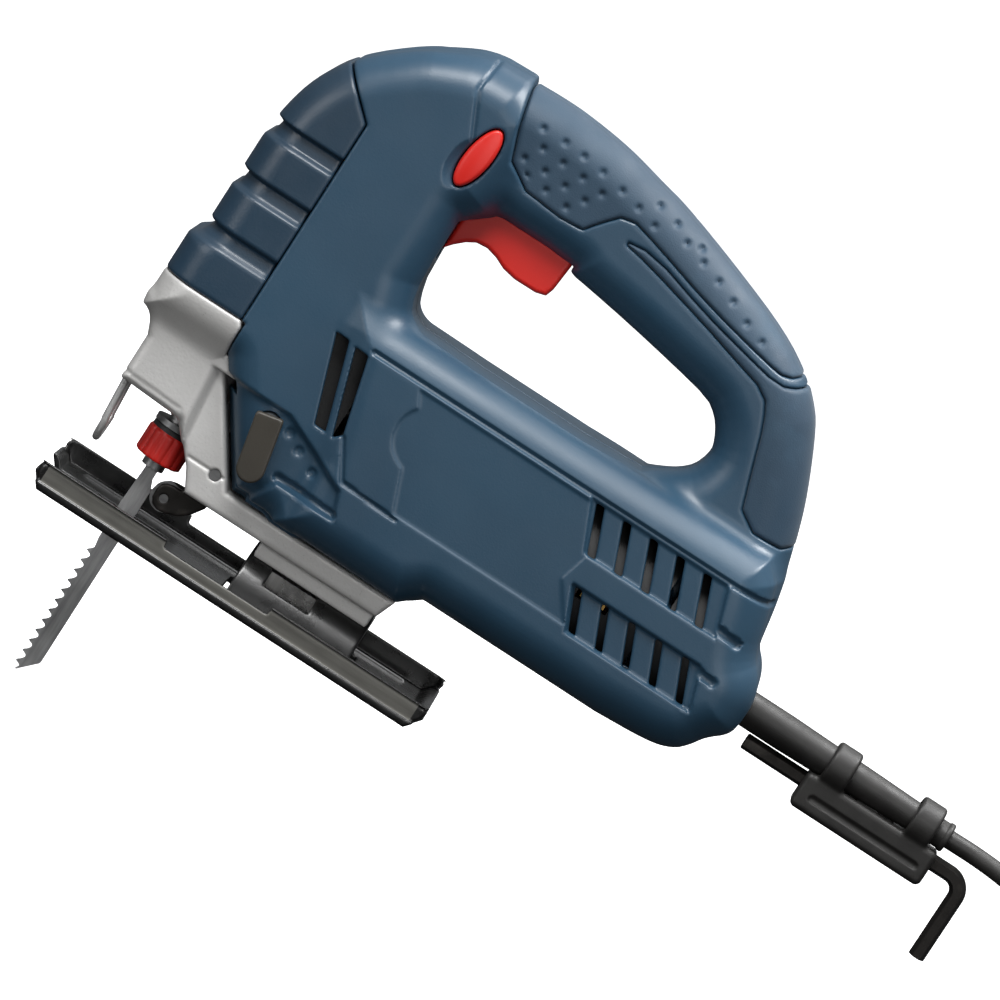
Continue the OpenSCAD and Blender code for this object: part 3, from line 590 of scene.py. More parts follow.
def moulded_plastic(name, main, deep, worn, rough, grain=1.0):
    """Spark-eroded nylon: fine pebble grain, patchy gloss and a few light scuffs."""
    s = Shader(name, rough)
    broad = s.ramp(s.noise(14, 4), 0.35, 0.7)
    tone = s.mixed(broad, main, deep)
    scuff = s.ramp(s.noise(170, 5, 0.7, s.stretched((1.0, 1.0, 0.35))), 0.71, 0.8, 0.0, 0.35)
    s.colour(s.mixed(scuff, tone, worn))
    s.roughness(s.ramp(s.noise(60, 5), 0.3, 0.7, rough - 0.06, rough + 0.08))
    s.height(s.cells(1500), 0.16 * grain, 0.00012)
    s.height(s.noise(3800, 2), 0.12 * grain, 0.00006)
    return s


@once
def housing_blue():
    s = moulded_plastic("housing_blue", srgb(40, 70, 91), srgb(35, 62, 82),
                        srgb(96, 124, 144), 0.4)
    s.coat(0.22, 0.33)
    return s.material


@once
def cover_blue():
    s = moulded_plastic("cover_blue", srgb(32, 55, 73), srgb(28, 48, 64), srgb(84, 108, 128), 0.38)
    s.coat(0.2, 0.3)
    return s.material


@once
def grip_blue():
    """Soft over-moulded rubber: pebbled, with the dull bloom of handled elastomer."""
    s = Shader("grip_blue", 0.62, 0.0, 0.42)
    broad = s.ramp(s.noise(22, 4), 0.35, 0.7)
    tone = s.mixed(broad, srgb(39, 63, 82), srgb(34, 56, 74))
    polish = s.ramp(s.noise(45, 5), 0.55, 0.75)
    s.colour(s.mixed(polish, tone, srgb(46, 71, 90)))
    s.roughness(s.ramp(s.noise(80, 4), 0.3, 0.7, 0.52, 0.66))
    s.height(s.cells(2100), 0.3, 0.00014)
    s.sheen(0.12, 0.5)
    return s.material


@once
def red_plastic():
    s = moulded_plastic("red_plastic", srgb(212, 38, 29), srgb(196, 32, 25),
                        srgb(226, 96, 82), 0.38, 0.7)
    return s.material


@once
def lever_plastic():
    return moulded_plastic("lever_plastic", srgb(58, 54, 47), srgb(48, 45, 39),
                           srgb(104, 97, 88), 0.46).material


@once
def black_plastic():
    return moulded_plastic("black_plastic", srgb(34, 35, 36), srgb(26, 27, 28),
                           srgb(88, 88, 88), 0.48).material


@once
def cast_alloy():
    """Shot-blasted magnesium: tiny craters, brighter where it was touched, grey in the pores."""
    s = Shader("cast_alloy", 0.4, 0.25, 0.6)
    broad = s.ramp(s.noise(30, 5), 0.35, 0.68)
    tone = s.mixed(broad, srgb(206, 205, 203), srgb(190, 189, 187))
    pores = s.ramp(s.noise(1400, 3, 0.6), 0.62, 0.74, 0.0, 0.5)
    s.colour(s.mixed(pores, tone, srgb(146, 144, 142)))
    s.roughness(s.ramp(s.noise(120, 5), 0.3, 0.7, 0.36, 0.52))
    s.height(s.cells(1100), 0.25, 0.00016)
    s.height(s.noise(260, 4), 0.12, 0.0003)
    return s.material


def worked_steel(name, main, deep, rough, stretch, marks=0.35):
    """Steel with the marks of its tooling running one way, and a thin uneven oil film."""
    s = Shader(name, rough, 1.0)
    runs = s.noise(420, 4, 0.6, s.stretched(stretch))
    s.colour(s.mixed(s.ramp(runs, 0.35, 0.68), main, deep))
    s.roughness(s.ramp(s.noise(90, 5), 0.3, 0.7, rough - 0.08, rough + 0.12))
    s.height(runs, marks, 0.00008)
    return s


@once
def bright_steel():
    return worked_steel("bright_steel", srgb(205, 204, 202), srgb(164, 163, 161), 0.28,
                        (1.0, 1.0, 0.08)).material


@once
def plated_wire():
    """Bright zinc-plated wire, drawn lengthwise."""
    s = worked_steel("plated_wire", srgb(222, 222, 221), srgb(186, 186, 185), 0.26,
                     (1.0, 1.0, 0.08))
    s.main.inputs["Metallic"].default_value = 0.5
    return s.material


@once
def steel():
    return worked_steel("steel", srgb(168, 168, 168), srgb(126, 126, 127), 0.36,
                        (0.12, 1.0, 1.0)).material


@once
def blade_steel():
    """Ground saw blade with a grey satin skin and darker tempering clouds."""
    s = worked_steel("blade_steel", srgb(176, 176, 176), srgb(132, 132, 133), 0.34,
                     (1.0, 1.0, 0.1), 0.5)
    s.main.inputs["Metallic"].default_value = 0.55
    return s.material


@once
def blackened_steel():
    """Oil-blackened hex key, rubbed grey along its flats."""
    s = Shader("blackened_steel", 0.4, 0.75)
    rubbed = s.ramp(s.noise(130, 6, 0.65, s.stretched((0.4, 1.0, 0.4))), 0.52, 0.72, 0.0, 0.8)
    s.colour(s.mixed(rubbed, srgb(44, 42, 40), srgb(92, 88, 84)))
    s.roughness(s.ramp(s.noise(240, 4), 0.3, 0.7, 0.3, 0.48))
    s.height(s.noise(1500, 3), 0.15, 0.00008)
    return s.material


@once
def base_paint():
    """Black stove enamel: slight orange peel, dust in the hollows, chips that show steel."""
    s = Shader("base_paint", 0.3)
    dust = s.ramp(s.noise(35, 5), 0.45, 0.75, 0.0, 0.25)
    tone = s.mixed(dust, srgb(15, 15, 15), srgb(36, 36, 35))
    chips = s.ramp(s.noise(420, 6, 0.7), 0.74, 0.77, 0.0, 0.7)
    s.colour(s.mixed(chips, tone, srgb(120, 119, 116)))
    s.roughness(s.ramp(s.noise(150, 5), 0.3, 0.7, 0.22, 0.38))
    s.height(s.noise(700, 2), 0.12, 0.0002)
    s.coat(0.4, 0.14)
    return s.material


@once
def cord_rubber():
    """Black rubber sheath: satin, lightly powdered, with faint extrusion marks."""
    s = Shader("cord_rubber", 0.5, 0.0, 0.45)
    bloom = s.ramp(s.noise(70, 5), 0.42, 0.75, 0.0, 0.5)
    s.colour(s.mixed(bloom, srgb(30, 29, 28), srgb(54, 53, 51)))
    s.roughness(s.ramp(s.noise(160, 4), 0.3, 0.7, 0.42, 0.58))
    s.height(s.noise(2600, 3), 0.25, 0.0001)
    return s.material


@once
def seal_rubber():
    s = Shader("seal_rubber", 0.6)
    s.colour(s.mixed(s.ramp(s.noise(300, 4), 0.4, 0.7), srgb(32, 32, 33), srgb(50, 50, 51)))
    s.height(s.noise(2200, 3), 0.2, 0.0001)
    return s.material


@once
def bronze():
    """Sintered bronze: open pores and a brown oil stain."""
    s = Shader("bronze", 0.42, 0.9)
    stain = s.ramp(s.noise(180, 5), 0.4, 0.7)
    tone = s.mixed(stain, srgb(184, 148, 84), srgb(136, 100, 54))
    s.colour(s.mixed(s.ramp(s.noise(3000, 2), 0.6, 0.7), tone, srgb(80, 56, 34)))
    s.height(s.noise(2600, 3), 0.2, 0.0001)
    return s.material


@once
def lamination():
    """Stacked sheet steel: fine lines across the motor's axis."""
    s = Shader("lamination", 0.45, 0.85)
    sheets = s.waves(320, "X")
    s.colour(s.mixed(s.ramp(sheets, 0.1, 0.9), srgb(84, 84, 86), srgb(132, 131, 130)))
    s.roughness(s.ramp(s.noise(200, 4), 0.3, 0.7, 0.36, 0.56))
    s.height(sheets, 0.3, 0.00015)
    return s.material


@once
def winding():
    """Enamelled copper wire laid side by side under varnish."""
    s = Shader("winding", 0.3, 0.8)
    wires = s.waves(330, "Y", 1.5)
    s.colour(s.mixed(s.ramp(wires, 0.15, 0.85), srgb(96, 46, 20), srgb(196, 118, 58)))
    s.height(wires, 0.5, 0.0003)
    s.coat(0.5, 0.15)
    return s.material


@once
def carbon():
    s = Shader("carbon", 0.55, 0.1)
    s.colour(s.mixed(s.ramp(s.noise(900, 4), 0.4, 0.7), srgb(36, 36, 38), srgb(70, 70, 72)))
    s.height(s.noise(1800, 3), 0.2, 0.0001)
    return s.material


@once
def lead_insulation():
    s = Shader("lead_insulation", 0.4)
    s.colour(s.mixed(s.ramp(s.noise(120, 4), 0.4, 0.7), srgb(30, 44, 58), srgb(44, 60, 76)))
    s.height(s.noise(1500, 2), 0.12, 0.0001)
    return s.material


SLOT_FINISHES = {
    "housing": housing_blue, "cover": cover_blue, "grip_rubber": grip_blue,
    "cast_alloy": cast_alloy, "bronze": bronze, "seal_rubber": seal_rubber,
    "lamination": lamination, "winding": winding, "carbon": carbon,
    "black_plastic": black_plastic, "red_plastic": red_plastic, "dark_plastic": lever_plastic,
    "blackened_steel": blackened_steel, "base_paint": base_paint,
    "lead_insulation": lead_insulation, "cord_rubber": cord_rubber,
    "blade_steel": blade_steel, "bright_steel": bright_steel, "steel": steel,
}


# ------------------------------------------------------------------ the casing

LABEL_ROUND = (71.7, 82.2, 11.7)        # where the label's edge swings round a circle
LEVER_BAY = [
    (4, 64.3), (29, 64.5), (40.5, 59.5), (55.7, 53), (59, 44), (37, 43.4), (30, 30), (18, 34),
    (4, 58)]
NOZZLE_DIMPLES = [(32, 59.6), (37.6, 56), (45.1, 52.4)]
DIMPLE_ROWS = [
    (47.5, 187.5), (56, 187.5), (63.5, 187), (71.5, 186), (80, 184.4), (87.5, 182.6), (51, 182),
    (59, 181.5), (67, 181), (75, 180), (47.5, 176), (55.5, 176), (63.5, 175.5), (71.5, 175),
    (51, 171.5), (59, 171), (67.5, 170), (107, 181.5), (115, 179), (122.5, 176.5),
    (130, 173.5), (137.5, 170), (145, 167.5), (95, 180.5), (101, 185), (93, 187), (112, 182.5)]


def casing_outlines(g):
    """The distances to the casing's three outlines, in the XZ plane."""
    front = outline_distance(FRONT_OUTLINE, g.X, g.Z)
    outer = outline_distance(smooth_outline(LOOP_OUTER, 2), g.X, g.Z)
    hole = outline_distance(smooth_outline(OPENING, 1), g.X, g.Z)
    loop = blend_cut(outer, -hole, 1.5)
    barrel = outline_distance(BARREL_OUTLINE, g.X, g.Z)
    return front, loop, barrel, hole


def column_form(g):
    """The front column, before anything is cut from it."""
    return rounded_slab(outline_distance(FRONT_OUTLINE, g.X, g.Z), g.Y, FRONT_HALF, COLUMN_ROUND)


def casing_form(g):
    """The closed outer form: front column, grip loop and motor barrel, blended together."""
    front, loop, barrel, hole = casing_outlines(g)
    column = rounded_slab(front, g.Y, FRONT_HALF, COLUMN_ROUND)
    grip = rounded_slab(loop, g.Y, GRIP_HALF, GRIP_ROUND)
    body = rounded_slab(barrel, g.Y, BARREL_HALF, BARREL_ROUND)
    whole = blend_join(blend_join(column, grip, 9.0), body, 5.0)
    return np.maximum(whole, -hole)


def grip_form(g):
    """The grip loop on the barrel, without the wide front column: what the pads lie on."""
    _, loop, barrel, hole = casing_outlines(g)
    grip = rounded_slab(loop, g.Y, GRIP_HALF, GRIP_ROUND)
    body = rounded_slab(barrel, g.Y, BARREL_HALF, BARREL_ROUND)
    return np.maximum(blend_join(grip, body, 5.0), -hole)


def groove(distance, width, depth):
    """How much a round-bottomed groove along a line takes away."""
    return depth * np.sqrt(np.clip(1 - (distance / (width / 2)) ** 2, 0, 1))


def louvre(k, low):
    """The outline of one slanted slot behind the panel."""
    if low:
        x = 137.2 + 10.4 * k
        return [(x, 69), (x + 2.6, 69), (x + 8.6, 55.3), (x + 6, 55.3)]
    x = 128.2 + 10.4 * k
    return [(x, 95.8), (x + 3.0, 95.8), (x + 9.6, 79.8), (x + 6.6, 79.8)]


FRONT_VENTS = [
    [(27, 96), (32, 96), (41.5, 66.5), (37.3, 66.5)], [(35, 95.5), (40, 95.5), (47, 69), (44.4, 66.5)]]


def panel_relief(g, side):
    """How deep the side is moulded in at each point of the XZ plane, in millimetres."""
    X, Z = g.X, g.Z
    deep = groove(line_distance([(41, 97.6), (196, 97.6)], X, Z), 1.9, 1.1)
    seams = line_distance([(47.5, 68.5), (54.9, 56.2), (76, 55.2)], X, Z)
    deep = np.maximum(deep, groove(seams, 1.7, 0.9))
    # the two louvred bays, with the bar between them
    upper = outline_distance([(126, 96.6), (178.8, 96.6), (184.5, 79.9), (133.6, 79.9)], X, Z)
    lower = outline_distance([(136, 69.6), (185.5, 69.6), (190.5, 54.8), (142.5, 54.8)], X, Z)
    deep = np.maximum(deep, 1.9 * bump_step(upper, 1.0))
    deep = np.maximum(deep, 1.9 * bump_step(lower, 1.0))
    # label field, one step lower, that swings round a plain disc
    x0, z0, r = LABEL_ROUND
    field = outline_distance(
        [(60, 95.6), (128, 95.6), (135, 80), (132, 69), (141, 56.5), (74.6, 56.5), (68.8, 71),
         (66, 82), (63.1, 90)], X, Z)
    disc = np.sqrt((X - x0) ** 2 + (Z - z0) ** 2) - r
    field = np.minimum(field, disc)
    deep = np.maximum(deep, 0.55 * bump_step(field, 0.9))
    # ledge under the panel, and the little pockets at the rear
    belly = line_distance([(60, 53.2), (142, 52.6), (192, 52.6)], X, Z)
    deep = deep - 0.7 * np.clip(1 - (belly / 1.6) ** 2, 0, 1)
    for z in (82.4, 67.6):
        pocket = line_distance([(181, z + 0.6), (191.5, z - 0.6)], X, Z)
        deep = np.maximum(deep, groove(pocket, 3.4, 1.6))
    # plate line from the top of the grip to the lock button, and below it
    crease = line_distance([(24, 200), (23, 187.5), (30.5, 172.5)], X, Z)
    deep = np.maximum(deep, groove(crease, 1.5, 0.7))
    if side < 0:
        bay = outline_distance(LEVER_BAY, X, Z)
        deep = np.maximum(deep, 2.2 * bump_step(bay, 2.0))
        for x, z in NOZZLE_DIMPLES:
            dot = np.sqrt((X - x) ** 2 + (Z - z) ** 2) - 1.6
            deep = deep + 0.7 * bump_step(dot, 0.9)
        slot = line_distance([(36.4, 44.9), (58, 45.2)], X, Z)
        deep = deep + groove(slot, 3.2, 1.3)
        thumb = np.sqrt(((X - 31.5) / 5.0) ** 2 + ((Z - 164.2) / 9.0) ** 2)
        deep = deep + 2.2 * np.clip(1 - thumb ** 2, 0, 1)
    return deep


def pad_outline(g):
    """Distance to the outline of either rubber pad, in the XZ plane."""
    front = outline_distance(smooth_outline(FRONT_PAD, 1), g.X, g.Z)
    rear = outline_distance(smooth_outline(REAR_PAD, 1), g.X, g.Z)
    return front, rear


HALF_GAP = 0.06                         # from the middle plane to each half of the casing
VENT_FROM = 14.0                        # the vents are cut from this far off the middle plane


def casing_half(side):
    """One half of the casing, hollow, with its vents, screw wells, bays and seats for the pads."""
    low, high = ((-34.0, -0.0) if side < 0 else (0.0, 34.0))
    g = Grid((-20, low - 2, 27), (210, high + 2, 200), VOXEL)
    form = casing_form(g)
    region = outline_distance(CASING_REGION, g.X, g.Z)
    relief = panel_relief(g, side)
    side_share = bump_step(12.0 - np.abs(g.Y), 6.0)
    skin = form + relief * side_share
    front, rear = pad_outline(g)
    pads = np.minimum(front, rear) - 0.25
    seat = np.maximum(pads, -(grip_form(g) + INLAY + 0.1))
    solid = blend_cut(skin, -seat, 0.8)
    solid = blend_cut(solid, region, 1.0)
    swing = np.maximum(np.sqrt(g.Y ** 2 + g.Z ** 2) - 39.3, 17.4 - np.abs(g.Y))
    swing = np.maximum(np.maximum(swing, g.X - 97.0), g.Z - 45.0)
    under_pad = np.where(pads < 3.0, grip_form(g) + INLAY, skin)
    hollow = np.maximum(np.maximum(skin, under_pad) + WALL, WALL - swing)
    solid = np.maximum(solid, -hollow)
    around = np.sqrt(g.Y ** 2 + (g.Z - MOTOR_Z) ** 2)
    for x, seat in ((79.5, 27.1), (115.5, 27.1), (165.5, 12.1)):
        web = np.maximum(np.abs(g.X - x) - 1.5, np.maximum(seat - around, around - 31.0))
        solid = np.minimum(solid, np.maximum(web, np.maximum(skin + 0.6, HALF_GAP - side * g.Y)))
    solid = blend_cut(solid, -swing, 1.0)
    solid = blend_cut(solid, HALF_GAP - side * g.Y, 0.5)
    for outline in FRONT_VENTS:
        cut = np.maximum(outline_distance(outline, g.X, g.Z), VENT_FROM - np.abs(g.Y))
        solid = blend_cut(solid, -cut, 0.7)
    for low_row in (False, True):
        for k in range(5):
            cut = np.maximum(outline_distance(louvre(k, low_row), g.X, g.Z), VENT_FROM - np.abs(g.Y))
            solid = blend_cut(solid, -cut, 0.6)
    switch = box_distance(g, (39.6, -9.6, 130), (79.9, 9.6, 158.5))
    solid = np.maximum(solid, -switch)
    cord_hole = np.sqrt(g.Y ** 2 + (g.Z - SLEEVE_Z) ** 2) - 6.7
    solid = blend_cut(solid, -np.maximum(cord_hole, 190 - g.X), 0.8)
    inner_cut = np.maximum(outline_distance([(-20, 60), (35, 60), (35, 154), (-20, 154)],
                                            g.X, g.Z), np.abs(g.Y) - 20.6)
    solid = np.maximum(solid, -inner_cut)
    if side > 0:
        for x, z in SCREW_POINTS:
            across = np.sqrt((g.X - x) ** 2 + (g.Z - z) ** 2)
            post = np.maximum(np.maximum(across - 4.6, skin), 9.0 - g.Y)
            solid = np.minimum(solid, post)
            well = np.maximum(across - 3.7, 12.0 - g.Y)
            solid = blend_cut(solid, -well, 0.9)
    else:
        solid = blend_cut(solid, -lock_oval(g, 0.45), 0.7)
        hub = np.sqrt((g.X - ORBIT_AT[0]) ** 2 + (g.Z - ORBIT_AT[1]) ** 2) - 4.4
        solid = np.maximum(solid, -np.maximum(hub, np.abs(g.Y + 27) - 8))
    name = "left_casing" if side < 0 else "right_casing"
    node = "left_housing" if side < 0 else "right_housing"
    mesh = drop_specks(mesh_from_field(name, solid, g))
    return dressed(name, mesh, "casing", housing_blue(), node)


def lock_oval(g, grow):
    """The oval through the side that the lock button sits in."""
    lean = math.radians(-8.0)
    u = (g.X - LOCK_AT[0]) * math.cos(lean) + (g.Z - LOCK_AT[1]) * math.sin(lean)
    v = -(g.X - LOCK_AT[0]) * math.sin(lean) + (g.Z - LOCK_AT[1]) * math.cos(lean)
    half_w, half_h = 4.3 + grow, 11.5 + grow
    round_part = np.sqrt((u / half_w) ** 2 + (v / half_h) ** 2)
    slope = np.sqrt((u / half_w ** 2) ** 2 + (v / half_h ** 2) ** 2) + 1e-6
    oval = round_part * (round_part - 1) / slope
    return np.maximum(np.clip(oval, -6, 40), g.Y + 12.0)


def grip_pads(side):
    """The rubber laid into one half of the grip: dimpled in front, smooth behind."""
    low, high = ((-20.0, 0.0) if side < 0 else (0.0, 20.0))
    g = Grid((34, low - 2, 112), (198, high + 2, 200), VOXEL * 0.8)
    form = grip_form(g)
    front, rear = pad_outline(g)
    skin = form - 0.25
    for x, z in DIMPLE_ROWS:
        pit = (g.X - x) ** 2 + (g.Z - z) ** 2
        skin = skin + 1.15 * np.exp(-pit / 1.1) * (front < -2.0)
    edge = line_distance([(88, 167.5), (100, 165.5), (126, 159), (139, 155.3), (153, 151)],
                         g.X, g.Z)
    skin = skin + groove(edge, 1.6, 0.5)
    shell = np.maximum(skin, -(form + INLAY))
    front_piece = blend_cut(blend_cut(skin, front, 1.4), -(form + INLAY), 0.4)
    rear_piece = blend_cut(blend_cut(skin, rear, 1.4), -(form + INLAY), 0.4)
    solid = np.minimum(front_piece, rear_piece)
    solid = np.maximum(solid, shell)
    solid = np.maximum(solid, HALF_GAP - side * g.Y)
    if side > 0:
        for x, z in SCREW_POINTS:
            across = np.sqrt((g.X - x) ** 2 + (g.Z - z) ** 2)
            solid = blend_cut(solid, 3.9 - across, 0.5)
    name = "left_pads" if side < 0 else "right_pads"
    mesh = drop_specks(mesh_from_field(name, solid, g))
    node = "left_grip" if side < 0 else "right_grip"
    return dressed(name, mesh, "casing", grip_blue(), node)


# ------------------------------------------------------------------ gear head and front cover


def plate_distance(g, points, half, radius):
    """A plate of an XZ outline, the same each way from the middle, with round edges."""
    return rounded_slab(outline_distance(points, g.X, g.Z), g.Y, half, radius)


def bore_x(g, x0, x1, radius, z):
    """A cylinder along X on the middle plane."""
    return tube_distance(g.Y, g.Z, g.X, (0.0, z), radius, x0, x1)


def bore_y(g, y0, y1, radius, at):
    """A cylinder along Y."""
    return tube_distance(g.X, g.Z, g.Y, at, radius, y0, y1)


def bore_z(g, z0, z1, radius, x, y=0.0):
    """A cylinder along Z."""
    return tube_distance(g.X, g.Y, g.Z, (x, y), radius, z0, z1)


def rib_relief(g):
    """Three recesses between ribs: a lit shoulder below, a sharp step above."""
    depth = np.interp(
        g.Z, [97.0, 99.0, 103.4, 104.4, 117.2, 118.9, 123.4, 124.4, 137.2, 138.9, 143.4, 144.4],
        [0.0, 1.9, 2.6, 0.0, 0.0, 1.9, 2.6, 0.0, 0.0, 1.9, 2.6, 0.0]).astype(np.float32)
    return depth


def make_front_cover():
    """The ribbed cover over the stroke mechanism."""
    g = Grid((-34, -30, 80), (1, 30, 175), VOXEL)
    form = column_form(g)
    skin = form + rib_relief(g)
    solid = blend_cut(skin, outline_distance(COVER_REGION, g.X, g.Z), 1.2)
    solid = np.maximum(solid, -(skin + 2.4))
    dressed("ribbed_cover", drop_specks(mesh_from_field("ribbed_cover", solid, g)),
            "casing", cover_blue(), "front_cover")


HOOD = [
    (-30.5, 72), (-28, 67), (-25, 60), (-25, 43.5), (-5, 42.5), (-1, 42), (3.5, 37), (0.2, 67.8),
    (0, 72)]
LEG = [
    (-10, 60), (-1, 42), (9, 30), (12.5, 23.7), (13, 22.5), (88, 22.5), (91, 30.2), (25, 30.2),
    (21.6, 35.5), (0.2, 67.5)]
FORK_SLOT = [(8, 10), (27, 10), (27, 44), (23, 50), (30, 50), (30, 62.8), (12, 62.8), (8, 60)]


def gear_head_form(g):
    """The outside of the casting: top band, hood, leg and the keel for the base plate."""
    band = column_form(g)
    region = outline_distance([(-34, 68.2), (-34, 82), (-1.3, 82), (0, 80), (0, 68.2)], g.X, g.Z)
    band = blend_cut(band, region, 1.2)
    hood = plate_distance(g, HOOD, 20.0, 3.5)
    leg = plate_distance(g, LEG, 17.0, 1.6)
    body = blend_join(blend_join(band, hood, 5.0), leg, 2.5)
    body = np.maximum(body, outline_distance(
        [(-34, 20), (-34, 82), (-1.3, 82), (0.2, 80), (0.2, 67.8), (21.8, 35.7), (25.2, 30.3),
         (92, 30.3), (92, 20)], g.X, g.Z))
    seam = line_distance([(8.0, 33.4), (21.5, 33.4)], g.X, g.Z)
    body = body + groove(seam, 1.2, 0.5)
    lip = line_distance([(-24.5, 46.5), (-3, 45.5)], g.X, g.Z)
    body = body + groove(lip, 1.6, 0.4)
    keel = plate_distance(g, [(43, 14), (87, 14), (87, 24), (43, 24)], 12.0, 0.8)
    return np.minimum(body, keel)


def gear_head_inside(g):
    """The webs of the casting that carry the bearings and the rod's bushes."""
    parts = [
        plate_distance(g, [(-24, 63.5), (30, 63.5), (30, 67), (-24, 71)], 20.0, 0.4),
        plate_distance(g, [(30, 60.5), (34, 60.5), (34, 150), (30, 150)], 20.0, 0.5),
        plate_distance(g, [(-10, 130), (31, 130), (31, 142), (-10, 142)], 9.0, 0.5),
        bore_z(g, 58, 72, 9.0, ROD_X), bore_x(g, 30, 42.5, 13.0, MOTOR_Z),
        bore_x(g, 24, 31, 8.0, GEAR_Z)]
    solid = parts[0]
    for part in parts[1:]:
        solid = np.minimum(solid, part)
    return solid


def gear_head_cuts(g):
    """Everything that is bored and cored out of the casting."""
    def plate(points, half):
        return plate_distance(g, points, half, 0.2)
    band = column_form(g)
    hollow = plate([(-28, 73), (-1.5, 73), (-1.5, 90), (-28, 90)], 25.2)
    cuts = [
        np.maximum(hollow, band + 2.4),
        plate([(-22, 30), (-22, 57.5), (8.6, 57.5), (8.6, 44), (12, 30)], 12.0),
        plate([(-22, 20), (-22, 31), (12, 31), (13.2, 20)], 12.0),
        plate(FORK_SLOT, 6.5), bore_x(g, 40, 90, 20.45, 0.0), bore_z(g, 40, 160, 6.5, ROD_X),
        plate([(-7, 79), (4, 79), (4, 90), (-7, 90)], 18.0),
        bore_x(g, 20, 60, 11.03, MOTOR_Z), bore_x(g, 10, 24, 5.0, MOTOR_Z),
        bore_x(g, 10, 60, 4.0, GEAR_Z), bore_z(g, 0, 40, 3.05, 65.0),
        bore_y(g, -20, 20, 2.0, (18.5, 33.0)), bore_y(g, -21, 0, 4.4, ORBIT_AT)]
    for y in (-8.0, 8.0):
        cuts.append(bore_z(g, 30, 56, 1.7, -23.6, y))
    for z in (84.0, 140.0):
        for y in (-15.0, 15.0):
            cuts.append(tube_distance(g.Y, g.Z, g.X, (y, z), 2.05, 20, 50))
    return cuts


def make_gear_head():
    """The cast alloy head with its hood, its leg and the sole's bearing."""
    g = Grid((-34, -29.5, 12), (93, 29.5, 152), VOXEL * 0.9)
    solid = np.minimum(gear_head_form(g), gear_head_inside(g))
    for cut in gear_head_cuts(g):
        solid = blend_cut(solid, -cut, 0.5)
    dressed("gear_head", drop_specks(mesh_from_field("gear_head", solid, g)),
            "casing", cast_alloy(), "gear_housing")


def join_rings(work, rings, closed=False):
    """Skins a row of rings of points: capped at both ends, or closed on itself."""
    sides = len(rings[0])
    for a, b in zip(rings, rings[1:] + (rings[:1] if closed else [])):
        for k in range(sides):
            work.faces.new((a[k], a[(k + 1) % sides], b[(k + 1) % sides], b[k]))
    if not closed:
        work.faces.new(list(reversed(rings[0])))
        work.faces.new(rings[-1])


def tube_run(work, path, radius, sides, across):
    """A round or many-sided bar through points. across is a direction the run never takes."""
    points = [Vector(p) for p in path]
    rings = []
    for i, point in enumerate(points):
        way = points[min(i + 1, len(points) - 1)] - points[max(i - 1, 0)]
        way.normalize()
        first = way.cross(across).normalized()
        second = way.cross(first)
        ring = []
        for k in range(sides):
            angle = 2 * math.pi * k / sides
            offset = first * math.cos(angle) + second * math.sin(angle)
            ring.append(work.verts.new((point + offset * radius) * MM))
        rings.append(ring)
    join_rings(work, rings)


def make_blade_guard():
    """Two bright rods in front of the blade, joined by a bow over the base plate."""
    down = [(-23.6, -8.0, 54.0), (-23.6, -8.0, 46.0), (-22.9, -8.0, 36.0), (-22.3, -8.0, 28.0)]
    path = list(down)
    for k in range(1, 24):
        angle = math.pi * k / 24
        path.append((-22.0, -8.0 * math.cos(angle), 28.0 - 8.0 * math.sin(angle)))
    path += [(x, -y, z) for x, y, z in reversed(down)]
    work = bmesh.new()
    tube_run(work, path, 1.3, 16, Vector((1.0, 0.0, 0.0)))
    dressed("guard_rods", mesh_of(work, "guard_rods"),
            "casing", plated_wire(), "blade_guard")


# ------------------------------------------------------------------ base plate, blade and clamp


def base_pan(g):
    """The pressed sole: chamfered ends, side flanges over a rolled lip, low end walls."""
    outer = outline_distance(
        [(-27.5, 0), (-33, 7), (-33, 9.6), (121, 9.6), (121, 7), (115, 0)], g.X, g.Z)
    inner = outline_distance(
        [(-26.5, 2.5), (-30.5, 7.5), (-30.5, 20), (118.5, 20), (118.5, 8), (113.8, 2.5)], g.X, g.Z)
    across = np.abs(g.Y)
    plan = outline_distance(eased(
        [(-33, 0), (-33, -28), (-31.5, -37.5), (-22, -37.5), (110, -37.5), (120.5, -37.5),
         (121, -28), (121, 28), (120.5, 37.5), (110, 37.5), (-22, 37.5), (-31.5, 37.5), (-33, 28)],
        1, 12), g.X, g.Y)
    shell = blend_cut(rounded_slab(outer, g.Y, BASE_HALF, 1.1), plan, 1.5)
    # the flange stands a little way in from the lip of the sole
    face = bump_step(2.9 - g.Z, 0.9) * bump_step(g.Z - 9.0, 0.7)
    shell = shell + 0.75 * face * bump_step(34.0 - across, 2.0)
    shell = np.maximum(shell, -np.maximum(np.maximum(inner, across - 35.0), plan + 2.5))
    for low, high in ((-34, -28), (116, 122)):
        wall = box_distance(g, (low, -34, 6), (high, 34, 16), 0.6)
        shell = blend_cut(shell, -wall, 1.5)
    for side in (-1, 1):
        low_edge = box_distance(g, (18, side * 37.5 - 5, 6.8), (58, side * 37.5 + 5, 16.8), 0.8)
        shell = blend_cut(shell, -low_edge, 0.8)
    return shell


